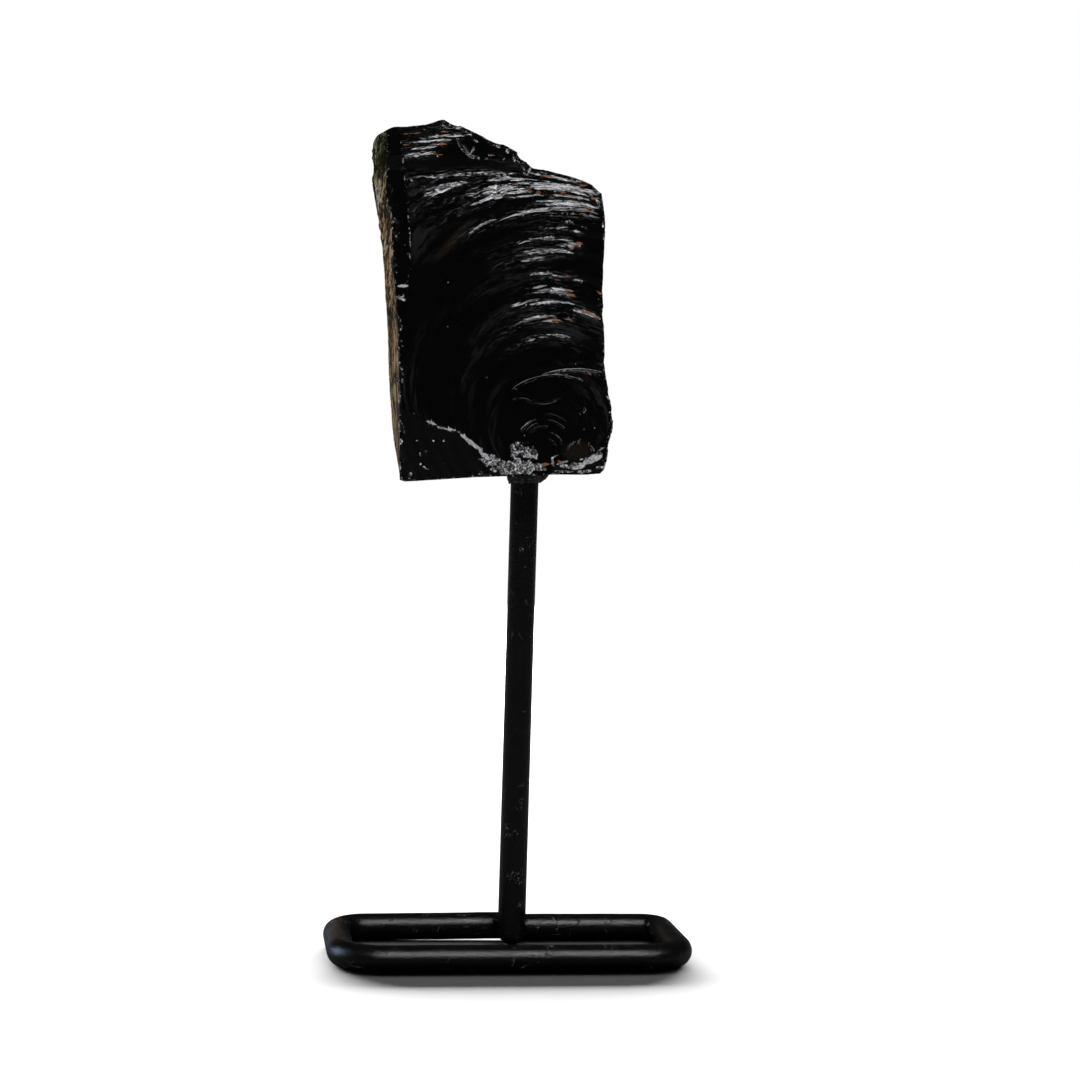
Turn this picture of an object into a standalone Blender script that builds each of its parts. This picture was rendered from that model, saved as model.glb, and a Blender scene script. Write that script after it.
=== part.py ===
"""A block of obsidian on a black steel display stand.

The stone is one solid: a subdivided cube whose six sides are laid onto the six
fracture faces of the block, then cut by scars. The stand is a bent rod loop and
an upright post, tied by a weld, and a ring of glue holds the stone.

All lengths below are in millimetres and angles in degrees. X runs to the right
along the front of the stand, Y to the back and Z up. The origin is at the
middle of the object on the table.
"""

import math

import bmesh
import bpy
import numpy as np
from mathutils import Matrix

MM = 0.001
MERGE = 0.01 * MM

# ---------------------------------------------------------------- the stand
ROD_D = 6.0
LOOP_WIDTH = 80.0
LOOP_DEPTH = 38.0
BEND_R = {"back left": 7.0, "front left": 9.0, "front right": 9.5, "back right": 4.2}
LOOP_CENTRE_Y = -1.5
ROD_SIDES = 16
BEND_STEPS = 8
SEAM_X = 1.6
SEAM_GAP = 0.6
SEAM_LEFT_LIFT = 0.3
SEAM_RIGHT_SHIFT = -0.6

POST_D = 6.2
POST_X = 2.2
POST_Y = 7.5
POST_FOOT_Z = 0.4
POST_FOOT_ROUND = 3.4
POST_SIDES = 32
FOOT_STEPS = 6

HOLE_CLEARANCE = 0.3
HOLE_DEPTH = 15.0
DRILL_LEAD = 6.0
POST_IN_HOLE = 14.0
GAP = 0.3

WELD_R = 0.8
WELD_HALF_ANGLE = 50.0
WELD_POINTS = 13
WELD_SIDES = 8

GLUE_HEIGHT = 1.6
GLUE_WALL = 0.6
GLUE_TAPER = 0.5
GLUE_LEAN = 1.3
GLUE_LEAN_ANGLE = -20.0
GLUE_SECTION = [(0.0, 0.0), (1.0, 0.0), (0.8, 0.5), (0.45, 1.0), (0.0, 1.0)]

# ---------------------------------------------------------------- the stone
# Outline of the front, as X and Z along the ridges that bound it.
FRONT_LEFT = [(-26.3, 103.9), (-27.1, 119.9), (-27.8, 136.2), (-28.7, 146.0),
              (-29.3, 154.0), (-29.6, 161.0), (-30.8, 165.0), (-31.0, 179.6)]
FRONT_TOP = [(-31.0, 179.6), (-29.5, 180.7), (-26.5, 180.8), (-22.6, 181.6),
             (-18.2, 183.2), (-16.0, 182.1), (-10.7, 179.7), (-5.3, 177.6),
             (-2.8, 176.2), (-1.6, 174.6), (0.0, 174.5), (1.2, 173.1),
             (9.3, 171.4), (13.4, 170.2), (16.1, 168.0)]
FRONT_RIGHT = [(18.3, 107.5), (18.9, 112.7), (19.6, 116.3), (19.7, 118.9),
               (18.4, 125.0), (17.7, 128.4), (17.1, 138.9), (16.5, 146.7),
               (16.7, 161.4), (16.1, 168.0)]
FRONT_BOTTOM = [(-26.3, 103.9), (-25.1, 103.6), (-10.4, 105.0), (6.8, 106.1),
                (14.8, 106.3), (17.6, 106.6), (18.3, 107.5)]

# Outline of the back.
BACK_LEFT = [(-24.5, 104.3), (-26.2, 111.6), (-27.8, 126.0), (-29.0, 140.0),
             (-29.8, 151.2), (-31.4, 163.7), (-32.8, 170.9), (-33.1, 178.0)]
BACK_TOP = [(-33.1, 178.0), (-27.0, 180.0), (-17.0, 181.5), (-8.0, 177.0),
            (3.0, 171.0), (12.5, 165.5)]
BACK_RIGHT = [(14.5, 107.0), (16.0, 118.0), (14.0, 131.0), (13.5, 148.0), (12.5, 165.5)]
BACK_BOTTOM = [(-24.5, 104.3), (-8.0, 105.6), (5.0, 106.2), (14.5, 107.0)]

# The upper end of the left side swells outward between the front and back ridges.
LEFT_SWELL = 1.3
LEFT_SWELL_WAY = (-0.45, 0.8)
LEFT_SWELL_Z = (168.0, 180.0)
LEFT_SWELL_ACROSS = (0.75, 1.0)

FACE_Y = -4.5
BACK_Y = 20.5
BACK_FALL_RIGHT = 4.5
BACK_FALL_X = (-36.0, 24.0)

# The front face is a shallow dish with waves that spread from the blow beside the post
# and die out toward the left. The wide arc is a step in it.
BLOW = (3.8, 111.0)
ARC_CENTRE = (8.7, 126.3)
ARC_R = 38.0
ARC_STEP = 0.45
ARC_SOFT = 0.6
DISH_DEPTH = 0.9
DISH_R = 60.0
WAVE_HEIGHT = 0.16
WAVE_LENGTH = 4.2
WAVE_UNEVEN = 0.35
WAVE_UNEVEN_LENGTH = 33.0
WAVES_RISE = (5.0, 16.0)
WAVES_FADE = (44.0, 60.0)
WAVES_LEFT_FADE = (10.0, -30.0)
WAVES_LEFT_LOSS = 0.7

# The dark strip along the upper left ridge turns away from the front.
STRIP_EDGE = [(-26.9, 143.5), (-25.7, 149.0), (-25.7, 154.9), (-26.3, 160.9),
              (-26.8, 166.4), (-27.5, 171.5), (-28.2, 179.5)]
STRIP_SLOPE = 0.8

# How far the upper bands lie behind the front face, by height.
BAND_Z = [160.0, 164.0, 171.0, 174.3, 178.5, 184.0]
BAND_RECESS = [0.0, 0.7, 3.0, 2.3, 4.6, 8.0]
SLOPE_Z = [160.0, 164.0, 171.0, 184.0]
SLOPE_RECESS = [0.0, 0.7, 3.0, 6.0]
BANDS_TO_SLOPE = (-4.0, 2.0)

# The facet at the lower left falls away below a bruised ridge.
RIDGE = [(-27.5, 119.8), (-21.3, 116.7), (-14.6, 114.8), (-10.1, 111.8), (-4.4, 109.0), (0.0, 106.0)]
FACET_SLOPE = 0.24

# The raised bulb at the lower right.
BULB_CENTRE = (12.9, 113.9)
BULB_R = 15.6
BULB_STEP = 0.5
BULB_SOFT = 0.7

# Scars: a point on the surface, the way that it faces, depth and radius, and the side
# of the bowl that its waves spread from.
SCARS = [
    ("notch in the top edge", (0.2, -2.5, 175.2), (0.1, -0.5, 0.85), 1.7, 3.2, (0, 0, 1)),
    ("step in the top band", (-7.0, -1.2, 177.6), (0.25, -0.85, 0.45), 1.1, 4.4, (1, 0, 0)),
    ("top right corner", (18.0, -2.0, 168.6), (0.75, -0.2, 0.6), 1.6, 4.0, (0, 0, 1)),
    ("lower right chip", (15.5, -4.4, 107.8), (0.1, -0.9, -0.35), 1.2, 4.2, (0, 0, -1)),
    ("bottom chip", (10.0, -4.4, 107.2), (0.0, -0.9, -0.35), 1.2, 3.8, (0, 0, -1)),
    ("chip beside the post", (-6.5, -4.0, 105.8), (-0.1, -0.9, -0.4), 1.2, 4.0, (0, 0, -1)),
    ("right edge chip", (17.6, -5.0, 134.0), (0.75, -0.65, 0.0), 0.9, 4.2, (0, -1, 0)),
    ("left ridge chip", (-29.2, -4.2, 144.4), (-0.75, -0.65, 0.0), 0.9, 2.6, (0, -1, 0)),
    ("right side hollow", (14.8, 9.5, 150.0), (1.0, 0.16, 0.05), 1.8, 14.5, (0, 1, 0)),
    ("right side low hollow", (18.4, 8.0, 119.0), (1.0, 0.15, -0.1), 1.6, 12.0, (0, 1, 0)),
    ("top hollow", (0.0, 12.0, 175.0), (0.35, 0.2, 0.92), 2.4, 15.0, (0, 1, 0)),
    ("top left hollow", (-23.0, 14.0, 180.6), (0.0, 0.25, 0.97), 1.8, 10.0, (0, 1, 0)),
    ("back upper scar", (-6.0, 19.2, 162.0), (0.05, 1.0, 0.14), 3.6, 33.0, (0, 0, 1)),
    ("back lower scar", (4.0, 17.4, 122.0), (0.16, 1.0, -0.1), 3.4, 28.0, (1, 0, 0)),
    ("back left scar", (-25.0, 20.4, 140.0), (-0.16, 1.0, 0.02), 2.2, 22.0, (-1, 0, 0)),
    ("back low left scar", (-19.0, 20.2, 109.0), (-0.06, 1.0, -0.3), 2.4, 15.0, (0, 0, -1)),
    ("left side hollow", (-28.6, 8.0, 128.0), (-1.0, -0.05, 0.0), 0.9, 13.0, (0, 1, 0)),
]
SCAR_WAVES = 4.5
SCAR_WAVE_SHARE = 0.035
SCAR_REACH = 1.3

STONE_CUTS = (51, 23, 77)
STONE_KEEP = 0.2

# colour, roughness and metallic value of each material
MATERIALS = {
    "obsidian": ((0.006, 0.006, 0.007), 0.08, 0.0),
    "black_paint": ((0.012, 0.012, 0.013), 0.38, 0.0),
    "glue": ((0.035, 0.032, 0.026), 0.7, 0.0),
}


def mix(a, b, f):
    """The value a share f of the way from a to b."""
    return a + (b - a) * f


def along(points, share):
    """Points of a polyline at shares 0 to 1 of its length."""
    points = np.array(points)
    length = np.r_[0.0, np.cumsum(np.linalg.norm(np.diff(points, axis=0), axis=1))]
    at = share * length[-1]
    return np.stack([np.interp(at, length, points[:, 0]), np.interp(at, length, points[:, 1])], -1)


def fill_outline(left, right, bottom, top, s, t):
    """The Coons patch inside four edges, at shares s across and t up."""
    s = s[:, None]
    t = t[:, None]
    sides = mix(along(left, t[:, 0]), along(right, t[:, 0]), s)
    ends = mix(along(bottom, s[:, 0]), along(top, s[:, 0]), t)
    low = mix(np.array(bottom[0]), np.array(bottom[-1]), s)
    high = mix(np.array(top[0]), np.array(top[-1]), s)
    return sides + ends - mix(low, high, t)


def ramp(value, start, end):
    """A smooth step from 0 at start to 1 at end."""
    f = np.clip((value - start) / (end - start), 0.0, 1.0)
    return f * f * (3.0 - 2.0 * f)


def ring_size(x, z):
    """Radius of the ring through a point, of those that grow from the blow to the wide arc."""
    drift = (np.array(ARC_CENTRE) - np.array(BLOW)) / ARC_R
    px = x - BLOW[0]
    pz = z - BLOW[1]
    a = 1.0 - drift @ drift
    b = px * drift[0] + pz * drift[1]
    c = px * px + pz * pz
    return (np.sqrt(b * b + a * c) - b) / a


def across(value, points):
    """Value of the second number of a list of pairs, read along the first."""
    return np.interp(value, [p[0] for p in points], [p[1] for p in points])


def front_recess(x, z):
    """How far the front lies behind its foremost plane."""
    ring = ring_size(x, z)
    recess = DISH_DEPTH * (1.0 - np.clip(ring / DISH_R, 0.0, 1.0) ** 2)
    recess += ARC_STEP * ramp(ring, ARC_R - ARC_SOFT, ARC_R + ARC_SOFT)

    strength = ramp(ring, *WAVES_RISE) * (1.0 - ramp(ring, *WAVES_FADE))
    strength = strength * (1.0 - WAVES_LEFT_LOSS * ramp(x, *WAVES_LEFT_FADE))
    turns = ring / WAVE_LENGTH + WAVE_UNEVEN * np.sin(2.0 * math.pi * ring / WAVE_UNEVEN_LENGTH)
    recess += WAVE_HEIGHT * strength * np.cos(2.0 * math.pi * turns)

    strip = across(z, [(edge_z, edge_x) for edge_x, edge_z in STRIP_EDGE])
    strip = np.where(z > STRIP_EDGE[0][1], strip - x, 0.0)
    recess += STRIP_SLOPE * np.maximum(0.0, strip)

    bands = np.interp(z, BAND_Z, BAND_RECESS)
    slope = np.interp(z, SLOPE_Z, SLOPE_RECESS)
    recess += mix(bands, slope, ramp(x, *BANDS_TO_SLOPE))

    recess += FACET_SLOPE * np.maximum(0.0, across(x, RIDGE) - z)

    from_bulb = np.hypot(x - BULB_CENTRE[0], z - BULB_CENTRE[1])
    return recess - BULB_STEP * (1.0 - ramp(from_bulb, BULB_R - BULB_SOFT, BULB_R + BULB_SOFT))


def back_depth(x):
    """Y of the back, which comes forward toward the right."""
    return BACK_Y - BACK_FALL_RIGHT * ramp(x, *BACK_FALL_X)


def cut_scar(points, centre, normal, depth, radius, struck_from):
    """Push what stands outside a shallow waved bowl back onto the bowl."""
    normal = np.array(normal) / np.linalg.norm(normal)
    offset = points - np.array(centre)
    height = offset @ normal
    flat = offset - height[:, None] * normal
    share = np.linalg.norm(flat, axis=1) / radius
    travel = np.linalg.norm(flat / radius - np.array(struck_from), axis=1)
    waves = SCAR_WAVE_SHARE * depth * np.cos(2.0 * math.pi * SCAR_WAVES * travel)
    bowl = depth * (share**2 - 1.0) + waves
    excess = np.where(share < SCAR_REACH, np.maximum(0.0, height - bowl), 0.0)
    return points - excess[:, None] * normal


def shape_stone(cube):
    """Places on the stone for the points of a cube with sides from 0 to 1."""
    s, w, t = cube.T
    front = fill_outline(FRONT_LEFT, FRONT_RIGHT, FRONT_BOTTOM, FRONT_TOP, s, t)
    back = fill_outline(BACK_LEFT, BACK_RIGHT, BACK_BOTTOM, BACK_TOP, s, t)
    front_y = FACE_Y + front_recess(front[:, 0], front[:, 1])
    flat = mix(front, back, w[:, None])
    swell = LEFT_SWELL * np.sin(math.pi * w) * ramp(1.0 - s, *LEFT_SWELL_ACROSS)
    swell = swell * ramp(flat[:, 1], *LEFT_SWELL_Z)
    flat = flat + swell[:, None] * np.array(LEFT_SWELL_WAY)
    depth = mix(front_y, back_depth(back[:, 0]), w)
    points = np.stack([flat[:, 0], depth, flat[:, 1]], -1)
    for _, centre, normal, scar_depth, radius, struck_from in SCARS:
        points = cut_scar(points, centre, normal, scar_depth, radius, struck_from)
    return points


def underside_z(x):
    """Height of the stone's underside at X, which rises a little to the right."""
    share = (POST_Y - FACE_Y) / (BACK_Y - FACE_Y)
    return mix(across(x, FRONT_BOTTOM), across(x, BACK_BOTTOM), share)


# ---------------------------------------------------------------- Blender helpers
def clear_scene():
    for obj in list(bpy.data.objects):
        bpy.data.objects.remove(obj)


def make_collection(name):
    collection = bpy.data.collections.new(name)
    bpy.context.scene.collection.children.link(collection)
    return collection


def make_material(name):
    colour, roughness, metallic = MATERIALS[name]
    material = bpy.data.materials.new(name)
    material.use_nodes = True
    shader = material.node_tree.nodes["Principled BSDF"]
    shader.inputs["Base Color"].default_value = (*colour, 1.0)
    shader.inputs["Roughness"].default_value = roughness
    shader.inputs["Metallic"].default_value = metallic
    return material


def mesh_object(name, bm, collection, material=None):
    """An object from a bmesh held in millimetres."""
    bmesh.ops.scale(bm, vec=(MM, MM, MM), verts=bm.verts)
    mesh = bpy.data.meshes.new(name)
    bm.to_mesh(mesh)
    bm.free()
    obj = bpy.data.objects.new(name, mesh)
    collection.objects.link(obj)
    if material:
        mesh.materials.append(material)
    return obj


def as_cutter(obj):
    obj.hide_render = True
    obj.display_type = 'WIRE'
    return obj


def rod(name, points, diameter, sides, collection, material):
    """A round rod along points, with flat ends and a flat of its section underneath."""
    curve = bpy.data.curves.new(name, 'CURVE')
    curve.dimensions = '3D'
    curve.twist_mode = 'Z_UP'
    curve.bevel_depth = diameter / 2.0 * MM
    curve.bevel_resolution = sides // 2 - 2
    curve.use_fill_caps = True
    curve.materials.append(material)
    spline = curve.splines.new('POLY')
    spline.points.add(len(points) - 1)
    for point, (x, y, z) in zip(spline.points, points):
        point.co = (x * MM, y * MM, z * MM, 1.0)
        point.tilt = math.pi / sides
    obj = bpy.data.objects.new(name, curve)
    collection.objects.link(obj)
    return obj


def turned(name, profile, steps, collection, material):
    """A solid of revolution from a profile that runs down its outer side."""
    bm = bmesh.new()
    verts = [bm.verts.new((r, 0.0, z)) for r, z in profile]
    for first, second in zip(verts, verts[1:]):
        bm.edges.new((first, second))
    obj = mesh_object(name, bm, collection, material)
    screw = obj.modifiers.new("turn", 'SCREW')
    screw.axis = 'Z'
    screw.steps = steps
    screw.render_steps = steps
    screw.use_merge_vertices = True
    screw.merge_threshold = MERGE
    return obj


# ---------------------------------------------------------------- the pieces
def loop_path():
    """Centreline of the bent rod, from its left end round the front to its right end."""
    half_x = (LOOP_WIDTH - ROD_D) / 2.0
    half_y = (LOOP_DEPTH - ROD_D) / 2.0
    rest_z = ROD_D / 2.0 * math.cos(math.pi / ROD_SIDES)
    left_end = (SEAM_X - SEAM_GAP / 2.0, LOOP_CENTRE_Y + half_y, rest_z + SEAM_LEFT_LIFT)
    right_end = (SEAM_X + SEAM_GAP / 2.0, LOOP_CENTRE_Y + half_y + SEAM_RIGHT_SHIFT, rest_z)
    points = [left_end]
    corners = [("back left", -1, 1, 90.0, 0.0), ("front left", -1, -1, 180.0, 0.0),
               ("front right", 1, -1, 270.0, 0.0), ("back right", 1, 1, 0.0, SEAM_RIGHT_SHIFT)]
    for corner, side_x, side_y, start, shift in corners:
        radius = BEND_R[corner]
        centre_x = side_x * (half_x - radius)
        centre_y = LOOP_CENTRE_Y + side_y * (half_y - radius) + shift
        for step in range(BEND_STEPS + 1):
            angle = math.radians(start + 90.0 * step / BEND_STEPS)
            points.append((centre_x + radius * math.cos(angle),
                           centre_y + radius * math.sin(angle), rest_z))
    points.append(right_end)
    return points


def make_loop(collection, material):
    return rod("base_loop", loop_path(), ROD_D, ROD_SIDES, collection, material)


def make_post(collection, material):
    """The upright, with a rounded foot and a flat top inside the stone."""
    radius = POST_D / 2.0
    top_z = underside_z(POST_X) + POST_IN_HOLE
    profile = [(0.0, top_z), (radius, top_z)]
    for step in range(FOOT_STEPS + 1):
        angle = math.radians(90.0 * step / FOOT_STEPS)
        profile.append((radius * math.cos(angle),
                        POST_FOOT_Z + POST_FOOT_ROUND * (1.0 - math.sin(angle))))
    obj = turned("post", profile, POST_SIDES, collection, material)
    obj.location = (POST_X * MM, POST_Y * MM, 0.0)
    return obj


def make_weld(collection, material):
    """The bead in the crotch above the back rod, behind the post."""
    rod_y = LOOP_CENTRE_Y + (LOOP_DEPTH - ROD_D) / 2.0 + SEAM_RIGHT_SHIFT
    from_post = POST_D / 2.0 + GAP + WELD_R
    from_rod = ROD_D / 2.0 + GAP + WELD_R
    points = []
    for step in range(WELD_POINTS):
        angle = math.radians(90.0 + WELD_HALF_ANGLE * (1.0 - 2.0 * step / (WELD_POINTS - 1)))
        y = POST_Y + from_post * math.sin(angle)
        rise = math.sqrt(max(0.0, from_rod**2 - (rod_y - y) ** 2))
        points.append((POST_X + from_post * math.cos(angle), y, ROD_D / 2.0 + rise))
    return rod("weld", points, 2.0 * WELD_R, WELD_SIDES, collection, material)


def make_glue(collection, material):
    """The lopsided ring of glue round the post, just under the stone, narrower below."""
    inner = POST_D / 2.0 + GAP
    bm = bmesh.new()
    rings = []
    for step in range(POST_SIDES):
        angle = 2.0 * math.pi * step / POST_SIDES
        lean = GLUE_LEAN * max(0.0, math.cos(angle - math.radians(GLUE_LEAN_ANGLE)))
        ring = []
        for wall, drop in GLUE_SECTION:
            radius = inner + wall * (GLUE_WALL + lean) * (1.0 - GLUE_TAPER * drop)
            x = POST_X + radius * math.cos(angle)
            y = POST_Y + radius * math.sin(angle)
            ring.append(bm.verts.new((x, y, underside_z(x) - GAP - drop * GLUE_HEIGHT)))
        rings.append(ring)
    for first, second in zip(rings, rings[1:] + rings[:1]):
        for k in range(len(first)):
            following = (k + 1) % len(first)
            bm.faces.new((first[k], first[following], second[following], second[k]))
    bmesh.ops.recalc_face_normals(bm, faces=bm.faces)
    return mesh_object("glue_collar", bm, collection, material)


def make_hole_cutter(collection):
    """The drill that makes the blind hole for the post."""
    floor_z = underside_z(POST_X) + HOLE_DEPTH
    start_z = underside_z(POST_X) - DRILL_LEAD
    bm = bmesh.new()
    bmesh.ops.create_cone(bm, cap_ends=True, segments=POST_SIDES,
                          radius1=POST_D / 2.0 + HOLE_CLEARANCE, radius2=POST_D / 2.0 + HOLE_CLEARANCE,
                          depth=floor_z - start_z,
                          matrix=Matrix.Translation((POST_X, POST_Y, (floor_z + start_z) / 2.0)))
    return as_cutter(mesh_object("post_drill", bm, collection))


def make_stone(collection, cutters, material):
    bm = bmesh.new()
    bmesh.ops.create_cube(bm, size=1.0, matrix=Matrix.Translation((0.5, 0.5, 0.5)))
    for axis, cuts in enumerate(STONE_CUTS):
        run = [e for e in bm.edges if abs((e.verts[0].co - e.verts[1].co)[axis]) > 0.0001]
        bmesh.ops.subdivide_edges(bm, edges=run, cuts=cuts, use_grid_fill=True)
    points = shape_stone(np.array([v.co[:] for v in bm.verts]))
    for vert, point in zip(bm.verts, points):
        vert.co = point
    bmesh.ops.recalc_face_normals(bm, faces=bm.faces)
    stone = mesh_object("obsidian_chunk", bm, collection, material)
    thin = stone.modifiers.new("fewer faces", 'DECIMATE')
    thin.ratio = STONE_KEEP
    drill = stone.modifiers.new("post hole", 'BOOLEAN')
    drill.object = make_hole_cutter(cutters)
    return stone


def main():
    clear_scene()
    parts = make_collection("obsidian_chunk_on_stand")
    cutters = make_collection("cutters")
    obsidian = make_material("obsidian")
    paint = make_material("black_paint")
    glue = make_material("glue")
    make_stone(parts, cutters, obsidian)
    make_loop(parts, paint)
    make_post(parts, paint)
    make_weld(parts, paint)
    make_glue(parts, glue)


main()
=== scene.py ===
"""Dresses a block of obsidian and its black steel display stand.

The file is laid out as a Blender add-on: each piece has an operator, the sizes and
colours that a user would change are properties, and a panel lists both. Run as a
script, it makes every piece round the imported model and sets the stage.

Places and forms are written in millimetres and turned to metres by MM. Properties are
in metres, as Blender keeps them. X runs to the right along the front of the stand, Y
to the back and Z up.
"""

import math

import bmesh
import bpy
import numpy as np
from bpy.props import FloatProperty, FloatVectorProperty, IntProperty, PointerProperty
from mathutils import Matrix, Vector
from mathutils.kdtree import KDTree


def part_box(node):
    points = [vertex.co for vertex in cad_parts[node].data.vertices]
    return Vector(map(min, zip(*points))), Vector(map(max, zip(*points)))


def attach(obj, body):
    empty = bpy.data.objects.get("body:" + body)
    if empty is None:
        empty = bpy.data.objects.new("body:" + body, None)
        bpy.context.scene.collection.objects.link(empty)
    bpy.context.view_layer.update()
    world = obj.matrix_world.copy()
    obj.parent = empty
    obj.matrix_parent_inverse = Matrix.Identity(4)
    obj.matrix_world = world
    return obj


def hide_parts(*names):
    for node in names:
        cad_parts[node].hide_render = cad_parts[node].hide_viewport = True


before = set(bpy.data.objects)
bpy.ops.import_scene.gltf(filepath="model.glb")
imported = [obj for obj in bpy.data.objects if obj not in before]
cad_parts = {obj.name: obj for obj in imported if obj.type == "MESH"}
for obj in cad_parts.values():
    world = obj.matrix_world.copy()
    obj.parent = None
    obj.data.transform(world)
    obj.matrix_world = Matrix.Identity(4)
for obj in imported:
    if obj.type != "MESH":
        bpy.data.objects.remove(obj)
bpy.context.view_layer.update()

bl_info = {
    "name": "Obsidian on a steel stand",
    "version": (1, 0, 0),
    "blender": (4, 5, 0),
    "location": "View3D > Sidebar > Obsidian",
    "description": "Makes a broken block of obsidian on a bent rod stand",
    "category": "Object",
}

MM = 0.001
MERGE = 0.01 * MM
BODY = "root"

LOOP_LOW, LOOP_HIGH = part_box("base_loop")
POST_LOW, POST_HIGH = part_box("post")
POST_CENTRE = (POST_LOW + POST_HIGH) / 2.0
POST_R = (POST_HIGH.x - POST_LOW.x) / 2.0 / MM

# ---------------------------------------------------------------- the stone's form
# Outlines of the front and of the back, as X and Z along the ridges that bound them.
FRONT_LEFT = [(-26.3, 103.9), (-27.1, 119.9), (-27.8, 136.2), (-28.7, 146.0),
              (-29.3, 154.0), (-29.6, 161.0), (-30.8, 165.0), (-31.0, 179.6)]
FRONT_TOP = [(-31.0, 179.6), (-29.5, 180.7), (-26.5, 180.8), (-22.6, 181.6),
             (-18.2, 183.2), (-16.0, 182.1), (-10.7, 179.7), (-5.3, 177.6),
             (-2.8, 176.2), (-1.6, 174.6), (0.0, 174.5), (1.2, 173.1),
             (9.3, 171.4), (13.4, 170.2), (16.1, 168.0)]
FRONT_RIGHT = [(18.3, 107.5), (18.9, 112.7), (19.6, 116.3), (19.7, 118.9),
               (18.4, 125.0), (17.7, 128.4), (17.1, 138.9), (16.5, 146.7),
               (16.7, 161.4), (16.1, 168.0)]
FRONT_BOTTOM = [(-26.3, 103.9), (-25.1, 103.6), (-10.4, 105.0), (6.8, 106.1),
                (14.8, 106.3), (17.6, 106.6), (18.3, 107.5)]
BACK_LEFT = [(-24.5, 104.3), (-26.2, 111.6), (-27.8, 126.0), (-29.0, 140.0),
             (-29.8, 151.2), (-31.4, 163.7), (-32.8, 170.9), (-33.1, 178.0)]
BACK_TOP = [(-33.1, 178.0), (-27.0, 180.0), (-17.0, 181.5), (-8.0, 177.0),
            (3.0, 171.0), (12.5, 165.5)]
BACK_RIGHT = [(14.5, 107.0), (16.0, 118.0), (14.0, 131.0), (13.5, 148.0), (12.5, 165.5)]
BACK_BOTTOM = [(-24.5, 104.3), (-8.0, 105.6), (5.0, 106.2), (14.5, 107.0)]

# The upper left side swells out and back a little, at these shares across and heights.
LEFT_SWELL = 1.3
LEFT_SWELL_WAY = (-0.45, 0.8)
LEFT_SWELL_Z = (168.0, 180.0)
LEFT_SWELL_ACROSS = (0.75, 1.0)

# Planes of the front and back. The back comes forward toward the right.
FACE_Y = -4.5
BACK_Y = 20.5
BACK_FALL_RIGHT = 4.5
BACK_FALL_X = (-36.0, 24.0)

# The front is a shallow dish. Waves spread over it from the blow beside the post, and a
# wide arc is a step in it.
BLOW = (3.8, 111.0)
ARC_CENTRE = (8.7, 126.3)
ARC_R = 38.0
ARC_STEP = 0.45
ARC_SOFT = 0.6
DISH_DEPTH = 0.9
DISH_R = 60.0
WAVE_HEIGHT = 0.16
WAVE_LENGTH = 4.2
WAVE_UNEVEN = 0.35
WAVE_UNEVEN_LENGTH = 33.0
WAVES_RISE = (5.0, 16.0)
WAVES_FADE = (44.0, 60.0)
WAVES_LEFT_FADE = (10.0, -30.0)
WAVES_LEFT_LOSS = 0.7

# The bevel along the upper left ridge: its edge on the front, and how fast it falls away.
STRIP_EDGE = [(-26.9, 143.5), (-25.7, 149.0), (-25.7, 154.9), (-26.3, 160.9),
              (-26.8, 166.4), (-27.5, 171.5), (-28.2, 179.5)]
STRIP_SLOPE = 0.8

# How far the top lies behind the front, by height: stepped bands on the left and a plain
# slope on the right.
BAND_Z = [160.0, 164.0, 171.0, 174.3, 178.5, 184.0]
BAND_RECESS = [0.0, 0.7, 3.0, 2.3, 4.6, 8.0]
SLOPE_Z = [160.0, 164.0, 171.0, 184.0]
SLOPE_RECESS = [0.0, 0.7, 3.0, 6.0]
BANDS_TO_SLOPE = (-4.0, 2.0)

# The ridge above the lower left facet, and how fast the facet falls away below it.
RIDGE = [(-27.5, 119.8), (-21.3, 116.7), (-14.6, 114.8), (-10.1, 111.8), (-4.4, 109.0),
         (0.0, 106.0)]
FACET_SLOPE = 0.24

# The raised bulb at the lower right.
BULB_CENTRE = (12.9, 113.9)
BULB_R = 15.6
BULB_STEP = 0.5
BULB_SOFT = 0.7

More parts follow.
